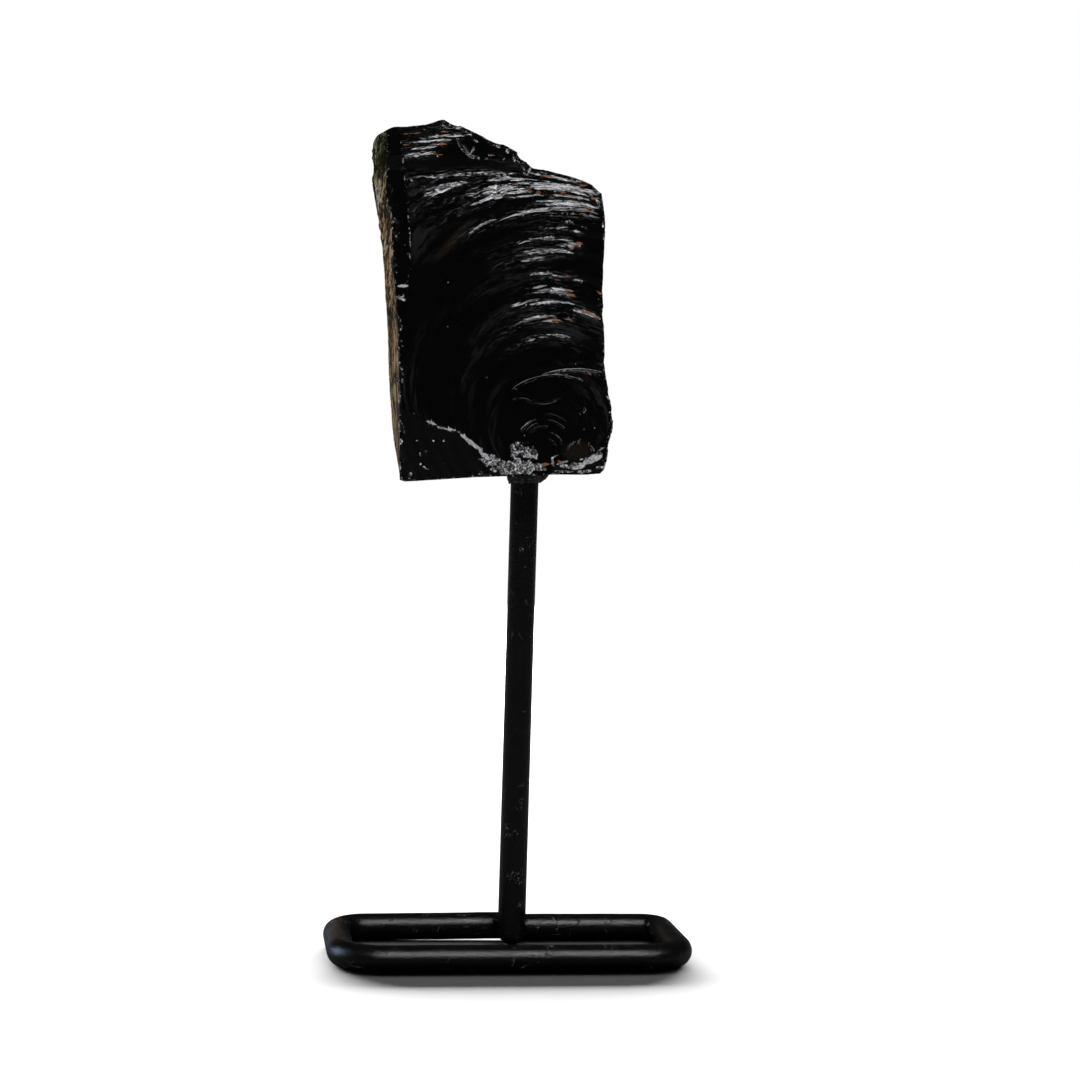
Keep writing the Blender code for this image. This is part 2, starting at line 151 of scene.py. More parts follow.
# Scars: what each one is, a point on the surface, the way that it faces, depth and
# radius, and the side of the bowl that its waves spread from.
SCARS = [
    ("notch in the top edge", (0.2, -2.5, 175.2), (0.1, -0.5, 0.85), 1.7, 3.2, (0, 0, 1)),
    ("step in the top band", (-7.0, -1.2, 177.6), (0.25, -0.85, 0.45), 1.1, 4.4, (1, 0, 0)),
    ("top right corner", (18.0, -2.0, 168.6), (0.75, -0.2, 0.6), 1.6, 4.0, (0, 0, 1)),
    ("lower right chip", (15.5, -4.4, 107.8), (0.1, -0.9, -0.35), 1.2, 4.2, (0, 0, -1)),
    ("bottom chip", (10.0, -4.4, 107.2), (0.0, -0.9, -0.35), 1.2, 3.8, (0, 0, -1)),
    ("chip beside the post", (-6.5, -4.0, 105.8), (-0.1, -0.9, -0.4), 1.2, 4.0, (0, 0, -1)),
    ("right edge chip", (17.6, -5.0, 134.0), (0.75, -0.65, 0.0), 0.9, 4.2, (0, -1, 0)),
    ("left ridge chip", (-29.2, -4.2, 144.4), (-0.75, -0.65, 0.0), 0.9, 2.6, (0, -1, 0)),
    ("right side hollow", (14.8, 9.5, 150.0), (1.0, 0.16, 0.05), 1.8, 14.5, (0, 1, 0)),
    ("right side low hollow", (18.4, 8.0, 119.0), (1.0, 0.15, -0.1), 1.6, 12.0, (0, 1, 0)),
    ("top hollow", (0.0, 12.0, 175.0), (0.35, 0.2, 0.92), 2.4, 15.0, (0, 1, 0)),
    ("top left hollow", (-23.0, 14.0, 180.6), (0.0, 0.25, 0.97), 1.8, 10.0, (0, 1, 0)),
    ("back upper scar", (-6.0, 19.2, 162.0), (0.05, 1.0, 0.14), 3.6, 33.0, (0, 0, 1)),
    ("back lower scar", (4.0, 17.4, 122.0), (0.16, 1.0, -0.1), 3.4, 28.0, (1, 0, 0)),
    ("back left scar", (-25.0, 20.4, 140.0), (-0.16, 1.0, 0.02), 2.2, 22.0, (-1, 0, 0)),
    ("back low left scar", (-19.0, 20.2, 109.0), (-0.06, 1.0, -0.3), 2.4, 15.0, (0, 0, -1)),
    ("left side hollow", (-28.6, 8.0, 128.0), (-1.0, -0.05, 0.0), 0.9, 13.0, (0, 1, 0)),
]

# Waves to a scar's radius, and their height as a share of its depth. How far a scar cuts,
# in radii, and half the side of the box where points are looked for, a little larger.
SCAR_WAVES = 4.5
SCAR_WAVE_SHARE = 0.035
SCAR_REACH = 1.3
SCAR_NEAR = 1.56

# Flakes broken out along the ridges: radius from and to before it is raised to a power,
# how unevenly and how far up or down they face, how far out their middle lies as a share
# of their depth, and depth as a share of their radius.
CHIP_R = (0.7, 2.1)
CHIP_R_POWER = 1.3
CHIP_TURN = 0.3
CHIP_RISE = 0.15
CHIP_SHIFT = 0.25
CHIP_DEPTH = 0.3

# Steps along the sides of the cube that the stone is laid out on, and how they crowd
# toward the front. Flat places then give up faces until the share below is left.
STONE_STEPS = (300, 44, 460)
FRONT_CROWDING = 1.6
STONE_KEEP = 0.29
STONE_SHARP = math.radians(32.0)
ROD_SHARP = math.radians(50.0)
GLUE_SHARP = math.radians(40.0)

# ---------------------------------------------------------------- marks on the stone
# The line that closes the wide band at the top is part of a larger circle.
BAND_TOP = (-5.0, 171.3)
BAND_TOP_R = 100.0
BAND_WIDTH = 8.0

# Flaky streaks that follow the ripples, where the flakes' painted highlights go: X from and to,
# Z in the middle, half width.
STREAKS = [
    (-25.5, -2.8, 170.9, 0.3), (-22.4, -12.3, 168.0, 0.22), (-23.5, -17.3, 166.3, 0.15),
    (-12.3, 1.3, 170.1, 0.65), (-11.7, 2.8, 168.5, 0.5), (-10.5, 4.5, 167.2, 0.3),
    (0.1, 13.4, 169.1, 0.7), (1.4, 13.3, 170.8, 0.38), (3.7, 13.3, 168.2, 0.3),
    (-2.8, 2.8, 166.6, 0.2), (3.1, 15.7, 166.8, 0.27), (-0.5, 15.8, 165.7, 0.2),
    (-0.3, 16.2, 164.9, 0.15), (-7.8, 15.2, 163.8, 0.42), (-11.7, -7.0, 160.0, 0.27),
    (1.2, 16.4, 163.0, 0.16), (-14.1, -5.8, 164.9, 0.17), (-12.9, -10.6, 166.5, 0.13),
    (-19.9, -13.2, 181.2, 0.17), (-24.4, -11.2, 179.1, 0.36), (-26.5, -15.3, 177.8, 0.3),
    (-21.6, -19.2, 177.0, 0.15), (-27.1, -20.1, 175.8, 0.22), (-27.4, -20.7, 174.4, 0.4),
    (3.3, 8.4, 159.7, 0.15), (8.2, 9.5, 161.0, 0.13), (9.6, 11.2, 159.1, 0.11),
    (-3.5, 6.7, 157.1, 0.27), (6.2, 9.8, 157.2, 0.13), (-2.5, 9.8, 154.6, 0.4),
    (-0.4, 5.3, 154.0, 0.17), (6.2, 11.5, 156.1, 0.28), (-2.4, 4.1, 152.7, 0.2),
    (0.9, 5.7, 149.7, 0.14), (6.0, 9.2, 149.3, 0.17), (10.2, 11.9, 148.5, 0.13),
    (1.9, 4.5, 146.9, 0.17), (2.7, 10.2, 146.3, 0.43), (-2.5, 3.4, 143.6, 0.1),
    (5.6, 10.4, 145.3, 0.28), (0.8, 10.2, 143.7, 0.22), (10.3, 14.7, 141.7, 0.22),
    (14.8, 16.1, 140.7, 0.17), (-2.5, 7.0, 140.1, 0.25), (-2.5, 1.4, 139.0, 0.11),
    (3.6, 7.6, 139.6, 0.35), (8.7, 10.3, 140.0, 0.2), (2.3, 10.1, 136.4, 0.18),
    (0.5, 2.0, 135.3, 0.2), (-9.0, 15.8, 168.9, 1.4), (1.0, 16.3, 165.2, 0.5),
    (-16.5, 2.0, 167.6, 0.9),
]

# Crisp arcs of painted highlight along the ripples: centre X and Z, radius, angles from
# and to counted from +X toward +Z, and brightness.
ARCS = [
    ((7.0, 112.2), 15.7, 129.0, 67.0, 0.3),
    ((11.9, 107.6), 21.8, 111.0, 76.0, 0.5),
    ((11.9, 107.2), 21.7, 105.0, 78.0, 0.2),
    ((8.2, 103.5), 25.6, 83.0, 76.0, 0.2),
    ((-0.7, 118.5), 4.1, 120.0, 48.0, 0.1),
    ((4.0, 127.1), 5.7, 250.0, 315.0, 0.1),
    ((4.8, 112.1), 6.5, 150.0, 112.0, 0.38),
    ((4.8, 112.1), 5.5, 146.0, 104.0, 0.16),
    ((4.8, 112.1), 4.6, 142.0, 80.0, 0.07),
    ((4.8, 112.1), 7.3, 96.0, 48.0, 0.05),
    ((4.8, 112.1), 6.0, 84.0, 36.0, 0.08),
    ((5.2, 111.5), 3.9, 80.0, 18.0, 0.1),
    ((5.2, 111.5), 2.4, 84.0, 20.0, 0.05),
    ((12.6, 110.2), 3.4, 150.0, 90.0, 0.3),
    ((12.6, 110.2), 3.4, 62.0, 12.0, 0.3),
    ((11.6, 121.4), 2.2, 280.0, 350.0, 0.3),
    ((-11.2, 177.9), 3.4, 195.0, 262.0, 0.45),
    ((-10.0, 179.5), 6.0, 190.0, 250.0, 0.3),
]

# Crushed places: X and Z of the middle, half length, half width, and slant in degrees.
CRUSHED = [
    (-10.4, 111.9, 3.2, 0.45, -34.0), (-6.6, 108.7, 3.0, 1.5, -12.0), (-4.2, 107.0, 3.4, 1.1, 0.0),
    (-0.6, 107.5, 4.6, 1.9, 0.0), (-1.7, 110.6, 1.5, 2.9, 6.0), (0.9, 110.7, 3.0, 1.6, -18.0),
    (3.6, 107.6, 2.6, 1.0, -8.0), (-8.6, 110.0, 2.2, 0.7, -36.0),
    (6.6, 108.8, 0.4, 1.3, 12.0), (7.2, 110.2, 0.9, 0.22, 32.0), (8.6, 108.8, 1.5, 0.3, 18.0),
    (9.9, 108.0, 1.6, 0.5, 0.0), (12.6, 108.5, 1.9, 0.55, -4.0), (13.9, 109.8, 1.4, 0.3, 12.0),
    (16.6, 110.5, 1.2, 0.8, 40.0), (17.3, 112.0, 1.6, 0.22, 34.0), (9.4, 106.9, 2.6, 0.35, 0.0),
    (14.0, 107.0, 1.7, 0.45, 10.0), (17.2, 108.0, 1.4, 0.35, 12.0), (-27.0, 145.7, 1.4, 0.4, 0.0),
    (-27.2, 142.9, 1.1, 0.28, -10.0), (-18.0, 115.5, 1.6, 0.25, -12.0), (-13.9, 114.7, 0.6, 0.3, -20.0),
    (-0.7, 171.5, 0.9, 0.35, -25.0), (0.15, 172.2, 0.25, 1.2, -24.0), (-19.7, 116.3, 0.5, 0.4, 0.0),
    (-23.1, 112.6, 0.35, 0.2, 50.0), (-19.5, 112.7, 0.25, 0.2, 0.0), (-17.1, 112.7, 0.5, 0.3, 10.0),
    (-21.0, 110.4, 0.25, 0.4, 0.0), (-22.2, 109.6, 0.2, 0.4, 0.0), (-22.1, 107.6, 0.35, 0.3, 0.0),
    (-20.8, 106.7, 0.9, 0.25, -25.0), (-19.1, 107.2, 0.25, 0.5, 20.0), (-26.4, 112.3, 0.4, 0.6, 0.0),
    (-24.3, 105.2, 0.7, 0.5, 20.0), (-26.7, 125.2, 0.3, 0.5, 0.0),
    (-18.6, 181.6, 1.2, 0.4, 4.0), (-14.8, 180.6, 1.3, 0.22, -24.0), (-11.6, 178.2, 0.9, 0.3, -40.0),
    (-7.0, 177.2, 0.9, 0.35, -24.0), (-4.9, 176.3, 0.45, 0.6, 0.0), (-3.4, 174.4, 0.3, 0.9, 20.0),
    (-12.4, 176.2, 0.3, 1.1, -20.0), (-8.8, 174.9, 0.6, 0.2, 10.0), (3.2, 171.9, 1.0, 0.22, -12.0),
    (6.6, 171.0, 1.2, 0.2, -14.0), (10.6, 169.9, 1.0, 0.22, -20.0), (13.6, 167.6, 0.7, 0.5, -46.0),
    (15.2, 165.9, 0.4, 1.0, 20.0), (16.2, 160.8, 0.25, 0.7, 0.0), (16.4, 158.0, 0.2, 0.5, 0.0),
    (16.8, 152.4, 0.2, 0.9, 0.0), (16.9, 141.0, 0.2, 0.5, 0.0), (17.2, 133.6, 0.22, 1.0, 0.0),
    (17.6, 129.6, 0.5, 0.35, -30.0), (18.9, 123.6, 0.25, 0.6, 0.0), (18.9, 117.4, 0.2, 0.7, 0.0),
]

# Smooth bevels along broken ridges, which carry a painted reflection, in the same form.
BEVELS = [
    (-11.2, 112.4, 3.6, 0.5, -36.0), (-8.4, 109.9, 2.0, 0.5, -38.0),
    (-20.0, 116.4, 1.5, 0.18, -16.0), (-16.0, 115.2, 1.6, 0.16, -10.0),
    (15.2, 109.6, 2.6, 0.9, 24.0), (12.4, 107.9, 2.0, 0.5, 12.0), (-27.0, 145.8, 1.5, 0.35, 0.0),
    (-27.2, 142.9, 1.1, 0.22, -10.0), (0.3, 172.6, 0.25, 1.5, -26.0),
]

# Reddish-brown specks among the streaks: X and Z of the middle, half length and half width.
REDDISH_SPECKS = [
    (-25.8, 179.0, 1.2, 0.3), (-18.4, 179.9, 0.9, 0.3), (-19.2, 177.1, 0.8, 0.3),
    (-23.1, 175.1, 1.1, 0.3), (-16.1, 178.5, 1.1, 0.2), (3.8, 171.2, 1.7, 0.3),
    (0.2, 168.5, 0.9, 0.4), (2.0, 167.5, 0.9, 0.4), (7.3, 167.8, 1.1, 0.3),
    (11.9, 169.6, 0.9, 0.3), (14.3, 166.6, 0.9, 0.3), (11.6, 163.2, 0.7, 0.3),
    (8.2, 159.8, 0.7, 0.2), (11.1, 156.6, 0.8, 0.3), (9.4, 155.3, 0.6, 0.3),
    (8.8, 149.4, 0.8, 0.2), (9.0, 146.3, 0.8, 0.3), (9.7, 145.2, 1.0, 0.35),
    (10.0, 144.2, 0.6, 0.2), (13.0, 141.7, 1.1, 0.3), (15.5, 140.7, 0.9, 0.3),
    (6.3, 139.8, 1.3, 0.35), (9.3, 140.0, 0.9, 0.25), (12.4, 127.1, 0.7, 0.25),
    (14.3, 128.4, 0.5, 0.2), (8.2, 108.9, 0.5, 0.4), (4.9, 108.3, 0.9, 0.4),
    (-27.0, 176.4, 1.4, 0.15), (-20.4, 174.6, 1.6, 0.14), (-8.2, 175.1, 0.6, 0.2),
    (-2.6, 169.0, 1.5, 0.14), (-0.6, 167.9, 1.6, 0.14), (3.4, 168.6, 1.5, 0.14),
    (5.4, 166.6, 1.6, 0.13), (9.4, 166.9, 1.6, 0.13), (9.8, 170.4, 1.5, 0.13),
    (13.2, 164.4, 1.6, 0.14), (6.9, 148.5, 1.2, 0.13), (12.4, 149.6, 0.9, 0.13),
    (13.1, 157.1, 0.8, 0.13), (16.0, 145.9, 0.6, 0.15),
]

# Brown tint in ovals: X and Z of the middle, half length, half width, slant.
BROWN_OVALS = [(12.2, 111.3, 4.0, 2.3, 8.0), (-16.5, 156.0, 7.0, 1.1, 50.0)]

# How far the streaks, and the faint halo round them, fade out to the left, to the right
# and across the ripples. Where streaks and ovals fade, counted in half widths, and how
# far the marks beside an arc reach and from where they fade.
STREAK_SPILL = (2.2, 0.3, 0.2)
HALO_SPILL = (6.5, 0.8, 1.1)
MARK_FADE = (0.0, 1.3)
PATCH_FADE = (0.55, 1.15)
LINE_REACH = 0.45
LINE_FADE = 0.27

# How squarely a point faces the front or the left to count as part of that side, how
# wide the marks fade at the bevel and the facet, and where wear shows on sharp ridges
# and on the bevel's edge. The material paints glints on that wear.
FACES_FRONT = (0.25, 0.6)
FACES_LEFT = (0.88, 0.97)
BEVEL_FADE = (0.0, 0.5)
FACET_FADE = (-0.5, 0.5)
WEAR_ANGLE = math.radians(34.0)
WEAR_REACH = 0.4
EDGE_REACH = 0.17
EDGE_WEAR = 0.75

# How the patterns that follow the ripples lie on the front and on the other sides.
SIDE_APART = 40.0
ARC_DRIFT = 6.0
TURN_LENGTH = 23.0
BACK_STRUCK = (8.0, 186.0)
FLANK_SLANT = 0.3
TOP_SLANT = 0.2

# ---------------------------------------------------------------- the stand's form
# The loop: its bends, and the seam between its two ends, where the left end is lifted
# and the right end shifted. How often the rod is cut into rings.
BEND_R = {"back left": 7.0, "front left": 9.0, "front right": 9.5, "back right": 4.2}
BEND_STEPS = 24
SEAM_X = 1.6
SEAM_GAP = 0.6
SEAM_LEFT_LIFT = 0.3
SEAM_RIGHT_SHIFT = -0.6
ROD_POINT_EVERY = 1.2 * MM
ROD_SEED = 4

# The post: rows and sides of its mesh, and how high its rounded foot starts and ends.
POST_ROWS = 60
POST_FOOT_Z = 0.4
POST_FOOT_ROUND = 3.4
POST_SIDES = 96
FOOT_STEPS = 16

# The post's hole in the stone, how far below the stone its drill starts, and the gap that
# the weld and the glue keep to their neighbours.
HOLE_CLEARANCE = 0.3
HOLE_DEPTH = 15.0
DRILL_LEAD = 6.0
GAP = 0.3

# The weld: its bead, how far it reaches round the post, and how uneven it is.
WELD_R = 0.8
WELD_HALF_ANGLE = 50.0
WELD_POINTS = 49
WELD_SIDES = 20
WELD_POINT_EVERY = 0.12 * MM
WELD_WANDER = 0.25 * MM
WELD_BEADS = 9.0
WELD_BEAD_HEIGHT = 0.14
WELD_SEED = 5

# The glue: its wall, how much thicker that is toward one side, and how it narrows below.
GLUE_WALL = 0.6
GLUE_LEAN = 1.3
GLUE_LEAN_ANGLE = -20.0
GLUE_HEIGHT = 1.6
GLUE_FLARE = 0.8
GLUE_SIDES = 96
GLUE_ROWS = 10

# ---------------------------------------------------------------- patterns
# Shared patterns: the group that makes each one, and the group's inputs. Strands follow
# the grain, and show where their noise rises from Low to High.
PATTERN_INPUTS = {
    "strands": ("Length", "Width", "Low", "High", "Line width", "Seed"),
    "veins": ("Spacing", "Width", "Seed"),
    "specks": ("Spacing", "Size", "Share"),
}
PATTERNS = {
    "flakes": ("strands", 7.0 * MM, 0.62 * MM, 0.48, 0.62, 0.05, 2.0),
    "hairs": ("strands", 6.5 * MM, 0.5 * MM, 0.45, 0.62, 0.05, 5.0),
    "cracks": ("strands", 6.0 * MM, 0.5 * MM, 0.45, 0.62, 0.08, 8.0),
    "fibres": ("strands", 3.4 * MM, 0.27 * MM, 0.44, 0.56, 0.05, 7.0),
    "slanted layers": ("strands", 13.0 * MM, 1.4 * MM, 0.45, 0.55, 0.02, 11.0),
    "upright stripes": ("strands", 40.0 * MM, 4.5 * MM, 0.40, 0.56, 0.05, 12.0),
    "scratches": ("strands", 3.0 * MM, 0.2 * MM, 0.6, 0.7, 0.05, 3.0),
    "silver veins": ("veins", 2.0 * MM, 0.04, 3.0),
    "silver threads": ("veins", 1.0 * MM, 0.05, 6.0),
    "splits": ("veins", 0.9 * MM, 0.07, 9.0),
    "fine scuffs": ("veins", 3.0 * MM, 0.013, 7.0),
    "glue veins": ("veins", 1.3 * MM, 0.035, 5.0),
    "dots": ("specks", 2.2 * MM, 0.07, 0.2),
    "paint dust": ("specks", 2.2 * MM, 0.05, 0.1),
    "glue dust": ("specks", 0.7 * MM, 0.2, 0.15),
}
SPECK_SOFTNESS = 0.05
STRAND_NOISE = (4.0, 0.6)
VEIN_NOISE = (3.0, 0.55)

# Noise in the materials: scale, detail, roughness and seed.
PATCHES = (1.0, 2.0, 0.5, 9.0)
CRUMBS = (800.0, 4.0, 0.6, 3.0)
RUBBLE = (330.0, 2.0, 0.5, 8.0)
NICKS = (1300.0, 3.0, 0.6, 4.0)
MOTTLED = (210.0, 4.0, 0.6, 13.0)
BROWN_BLOTCHES = (150.0, 3.0, 0.6, 15.0)
SPECKLED = (420.0, 4.0, 0.65, 14.0)
PAINT_PEEL = (3000.0, 3.0, 0.7, 1.0)
PAINT_TONE = (90.0, 3.0, 0.6, 2.0)
SCRATCHED_PATCHES = (55.0, 1.0, 0.5, 4.0)
SCUFFED_PATCHES = (260.0, 1.0, 0.5, 8.0)
GLUE_LUMPS = (1800.0, 3.0, 0.6, 2.0)
BLOTCHES = (16.0, 3.0, 0.6, 2.0)

# Grain of the glass: how fast it drifts aside and how far, in the crust as well.
DRIFT_SCALE = 260.0
GRAIN_DRIFT = 1.1 * MM
LAYER_DRIFT = 2.5 * MM
PATCH_STRETCH = (55.0, 130.0, 1.0)

# Brightness of the flakes' painted highlight, stronger up in the bands, toward the right,
# at the top and on the front, where the flakes catch the light. Pairs go from where a
# pattern is absent to where it is full, and longer rows say from where to where a change
# happens, and what it changes.
FILL_GLOW = (0.12, 0.38)
HAIR_GLOW = 1.1
CRACK_GLOW = (1.0, 0.1)
BAND_GLOW = (162.0 * MM, 166.0 * MM, 0.8, 1.6)
RIGHT_GLOW = (-16.0 * MM, 2.0 * MM, 0.54, 1.0)
TOP_GLOW = (172.0 * MM, 175.0 * MM, 1.0, 1.55)
FRONT_GLOW = (0.35, 1.0)

# Where the flakes' painted highlight shows: how much flakes and fibres ragged their edges,
# clusters of them off the front, and faint ones in the halo and in the ripples.
RAGGED_BY_FLAKES = 3.4
RAGGED_BY_FIBRES = 1.6
CLUSTERS = (0.56, 0.7)
CLUSTER_SHARE = 0.7
STREAK_EDGE = (0.64, 0.76)
MARK_EDGE = (0.02, 0.2)
HALO_FIBRES = (0.45, 0.7)
HALO_STREAKS = 0.12
FAINT_PATCHES = (0.48, 0.62)
FAINT_STREAKS = 0.013

# Crushed glass; arcs with painted highlights, bevels with painted reflections, worn ridges
# with painted glints; and dots.
RAGGED_BY_CRUMBS = 3.4
RAGGED_BY_RUBBLE = 2.2
CRUSHED_EDGE = (0.5, 0.66)
VEIN_GLOW = 0.72
THREAD_GLOW = 0.34
CRUSHED_GLOW = 0.05
SPLIT_GLOW = (1.1, 0.2)
LINE_EDGE = (0.02 * MM, 0.09 * MM)
LINE_GLOW = (0.4, 1.0)
BEVEL_RAGGED = 2.0
BEVEL_EDGE = (0.4, 0.7)
BEVEL_GLOW = (0.34, 0.54)
BEVEL_THREAD_GLOW = (1.0, 0.4)
NICK_EDGE = (0.53, 0.64)
WORN_GLINT_GLOW = (0.18, 0.5)
DOT_GLOW = 0.3

# Painted reflection on the left side: green above, tan and reddish brown below, in
# upright stripes low down and slanted layers higher up, with pale lines of painted
# reflection. It grows stronger at a flat angle, as a reflection does.
GREEN_REFLECTION_RAGGED = 70.0 * MM
GREEN_REFLECTION_FROM = (166.0 * MM, 174.0 * MM)
LAYERS_RAGGED = 60.0 * MM
LAYERS_FROM = (128.0 * MM, 158.0 * MM)
LOWER_REFLECTION_SPECKLES = (0.42, 0.6, 0.25, 1.0)
LOWER_REFLECTION_BROWN = (0.45, 0.65, 0.0, 0.45)
PALE_PATCHES = (0.5, 0.62)
PALE_GLOW = (0.1, 0.7)
BARE_RAGGED = 0.5
BARE_EDGE = (0.38, 0.54)
LAYER_COVER = (0.15, 1.0)
LOW_COVER = (104.0 * MM, 122.0 * MM, 0.35, 1.0)
GRAZING_COVER = (0.3, 0.85, 0.22, 1.2)

# Reddish-brown specks in the flakes, then roughness where the glass is frosted, specked or
# tinted, and its bump.
REDDISH_RAGGED = 1.3
REDDISH_EDGE = (0.5, 0.7)
REDDISH_FADE = (0.05, 0.3)
REDDISH_FIBRES = (0.4, 0.5, 0.35, 0.95)
DULL_ROUGHNESS = 0.4
GLASS_IOR = 1.49
FLAKE_BUMP = (0.15, 2.65)
FIBRE_BUMP = 1.2
GLASS_BUMP = 0.12 * MM

# Paint: how much dust, scratches and scuffs each rod has, darker and lighter places, and
# how rough they are as shares of the setting.
PAINT_MARKS = [("loop", 0.3, 0.7, 0.6), ("post", 0.1, 0.15, 0.3), ("weld", 0.1, 0.1, 0.0)]
PAINT_DARK = 0.7
PAINT_LIGHT = 1.3
PAINT_ROUGHNESS = (0.25, 0.75, 0.85, 1.2)
SCRATCHED_EDGE = (0.6, 0.68)
SCUFFED_EDGE = (0.57, 0.66)
DUST_GLOW = 0.6
SCRATCH_BUMP = 3.0
PAINT_BUMP = 0.1 * MM

# Glue.
GLUE_VEIN_GLOW = 0.7
GLUE_LUMP_EDGE = (0.42, 0.6)
GLUE_ROUGHNESS = (0.3, 0.7, 0.3, 0.7)
GLUE_BUMP = 0.15 * MM
GLUE_BUMP_STRENGTH = 0.8

# Relief, in Geometry Nodes: detail and roughness of its noise, the crest of a flake, how
# crumbs are broken, and the fine ripples' patches.
RELIEF_NOISE = (3.0, 0.6)
HACKLE_SLOPE = -6.0
HACKLE_CREST = 0.6
CRUMB_BREAKS = 0.6
CRUMB_HEIGHTS = 2.0
CRUMB_LEVEL = 0.6
RIPPLE_PATCHES = (110.0, 1.0, 0.5)
RIPPLE_EDGE = (0.4, 0.62)
GROOVE_LENGTH = 9.0 * MM
GROOVE_SPACING = 1.1 * MM
GROOVE_HEIGHT = 0.22 * MM
WORN_SCALE = (900.0, 2.0, 0.6)
WORN_LEVEL = 0.6
WORN_HEIGHT = 0.14 * MM
ROD_NOISE = (130.0, 2.0, 0.5)
LUMP_NOISE = (900.0, 3.0, 0.6)
GRAIN_LEAST = (0.35, 0.35, 0.25)
GRAIN_MOST = (1.0, 0.8, 0.7)

# ---------------------------------------------------------------- the camera
CAMERA_PLACE = Vector((-63.448, -456.507, 105.580)) * MM
CAMERA_YAW = 0.14869
CAMERA_PITCH = -0.03011
CAMERA_ROLL = 0.02981
CAMERA_LENS = 70.0
CAMERA_SENSOR = 36.0
CAMERA_NEAREST = 0.01

# ---------------------------------------------------------------- floor and lights
# The floor is darker in gloss, and gives light of its own far from the object. The world
# is white for the eye and dim for everything else.
FLOOR_SIDES = 96
FLOOR_IN_GLOSS = 0.08
FLOOR_WHITENS = (0.12, 0.7)
WORLD_DIM = 0.02

# Lights: place, width and height, power, colour, whether gloss mirrors it, and the
# pieces that it lights where it doesn't light everything.
WHITE = (1.0, 1.0, 1.0)
AIM = (0.0, 0.0, 0.1)
STONE_PIECES = ["obsidian_block", "glue_ring"]
STAND_PIECES = ["stand_loop", "stand_post", "weld_bead"]
LIGHTS = [
    ("softbox", (0.0, 1.15, 0.42), (2.2, 0.45), 120.0, WHITE, False, []),
    ("fill", (0.0, 0.1, 1.4), (1.2, 1.2), 2.6, WHITE, False, []),
    ("key", (-0.49, -0.69, 1.03), (0.45, 0.45), 10.0, WHITE, False, STONE_PIECES + STAND_PIECES),
    ("rail light", (0.16, -0.65, 0.92), (0.36, 0.16), 6.0, WHITE, True, STAND_PIECES),
    ("edge light", (0.95, -0.12, 0.25), (0.3, 0.3), 6.0, WHITE, False, STONE_PIECES),
    ("window", (-1.1, 0.47, 0.3), (0.18, 0.4), 4.2, (0.55, 0.75, 1.0), True, ["stand_loop"]),
]

# A card behind on the left, as it shows in the stone's left side: its corners, and
# colours in bands, by height and by X.
CARD_Y = 620.0
CARD_LOW = (-560.0, 0.0)
CARD_HIGH = (60.0, 560.0)
CARD_TAN_TO_GREEN = (205.0 * MM, 285.0 * MM)
CARD_GREY_TO_BLUE = (-145.0 * MM, -175.0 * MM)
CARD_LOW_PART = (92.0 * MM, 60.0 * MM)
CARD_BLOTCHES = (0.42, 0.62)
CARD_GREEN = (0.012, 0.018, 0.004)
CARD_TAN = (0.055, 0.040, 0.020)
CARD_GREY = (0.7, 0.58, 0.46)
CARD_BLUE = (0.35, 0.5, 0.8)
CARD_DARK = (0.006, 0.005, 0.004)


# ---------------------------------------------------------------- what a user changes
def size(name, description, default):
    return FloatProperty(name=name, description=description, default=default, unit='LENGTH')


def colour(name, description, default):
    return FloatVectorProperty(name=name, description=description, default=default,
                               subtype='COLOR', size=3, min=0.0, max=1.0)


def share(name, description, default):
    return FloatProperty(name=name, description=description, default=default,
                         subtype='FACTOR', min=0.0, max=1.0)


class StoneSettings(bpy.types.PropertyGroup):
    """Relief and colours of the obsidian."""
    hackle_height: size("Hackle height", "Relief of the flaky streaks", 0.16 * MM)
    hackle_length: size("Hackle length", "Length of a flake along the ripples", 3.2 * MM)
    hackle_spacing: size("Hackle spacing", "Distance between flakes across the ripples", 0.42 * MM)
    crumb_height: size("Crumb height", "Relief of the crushed places", 0.07 * MM)
    crumb_size: size("Crumb size", "Size of a crumb in the crushed places", 0.75 * MM)
    ripple_height: size("Ripple height", "Height of the fine ripples", 0.012 * MM)
    ripple_spacing: size("Ripple spacing", "Distance between the fine ripples", 1.15 * MM)
    chip_count: IntProperty(name="Chips", description="Small chips along the ridges", default=90, min=0)
    seed: IntProperty(name="Seed", description="Changes where chips and flakes fall", default=7)
    glass: colour("Glass", "Colour of the black glass", (0.0008, 0.0008, 0.0008))
    # Brown tint inside the listed ovals.
    brown_tint: colour("Brown tint", "Colour where the glass is thin", (0.007, 0.0055, 0.004))
    # Light grey frost, which also paints the highlights, reflections and glints on flakes, arcs, bevels and
    # ridges.
    frost_and_highlight: colour("Frost and highlight", "Colour of flaky and crushed glass", (0.80, 0.81, 0.84))
    # Tan of the painted reflection low on the left side.
    reflection_tint: colour("Reflection tint", "Colour of the crust low on the left side", (0.18, 0.12, 0.05))
    # Green of the painted reflection high on the left side.
    green_reflection: colour("Green reflection", "Colour of the crust high on the left side", (0.034, 0.046, 0.013))
    # Reddish brown of the specks, and of patches in the painted reflection on the left side.
    rust: colour("Reddish brown", "Colour of the rust in the flakes", (0.20, 0.075, 0.04))
    gloss: share("Glass roughness", "Roughness of the black glass", 0.07)


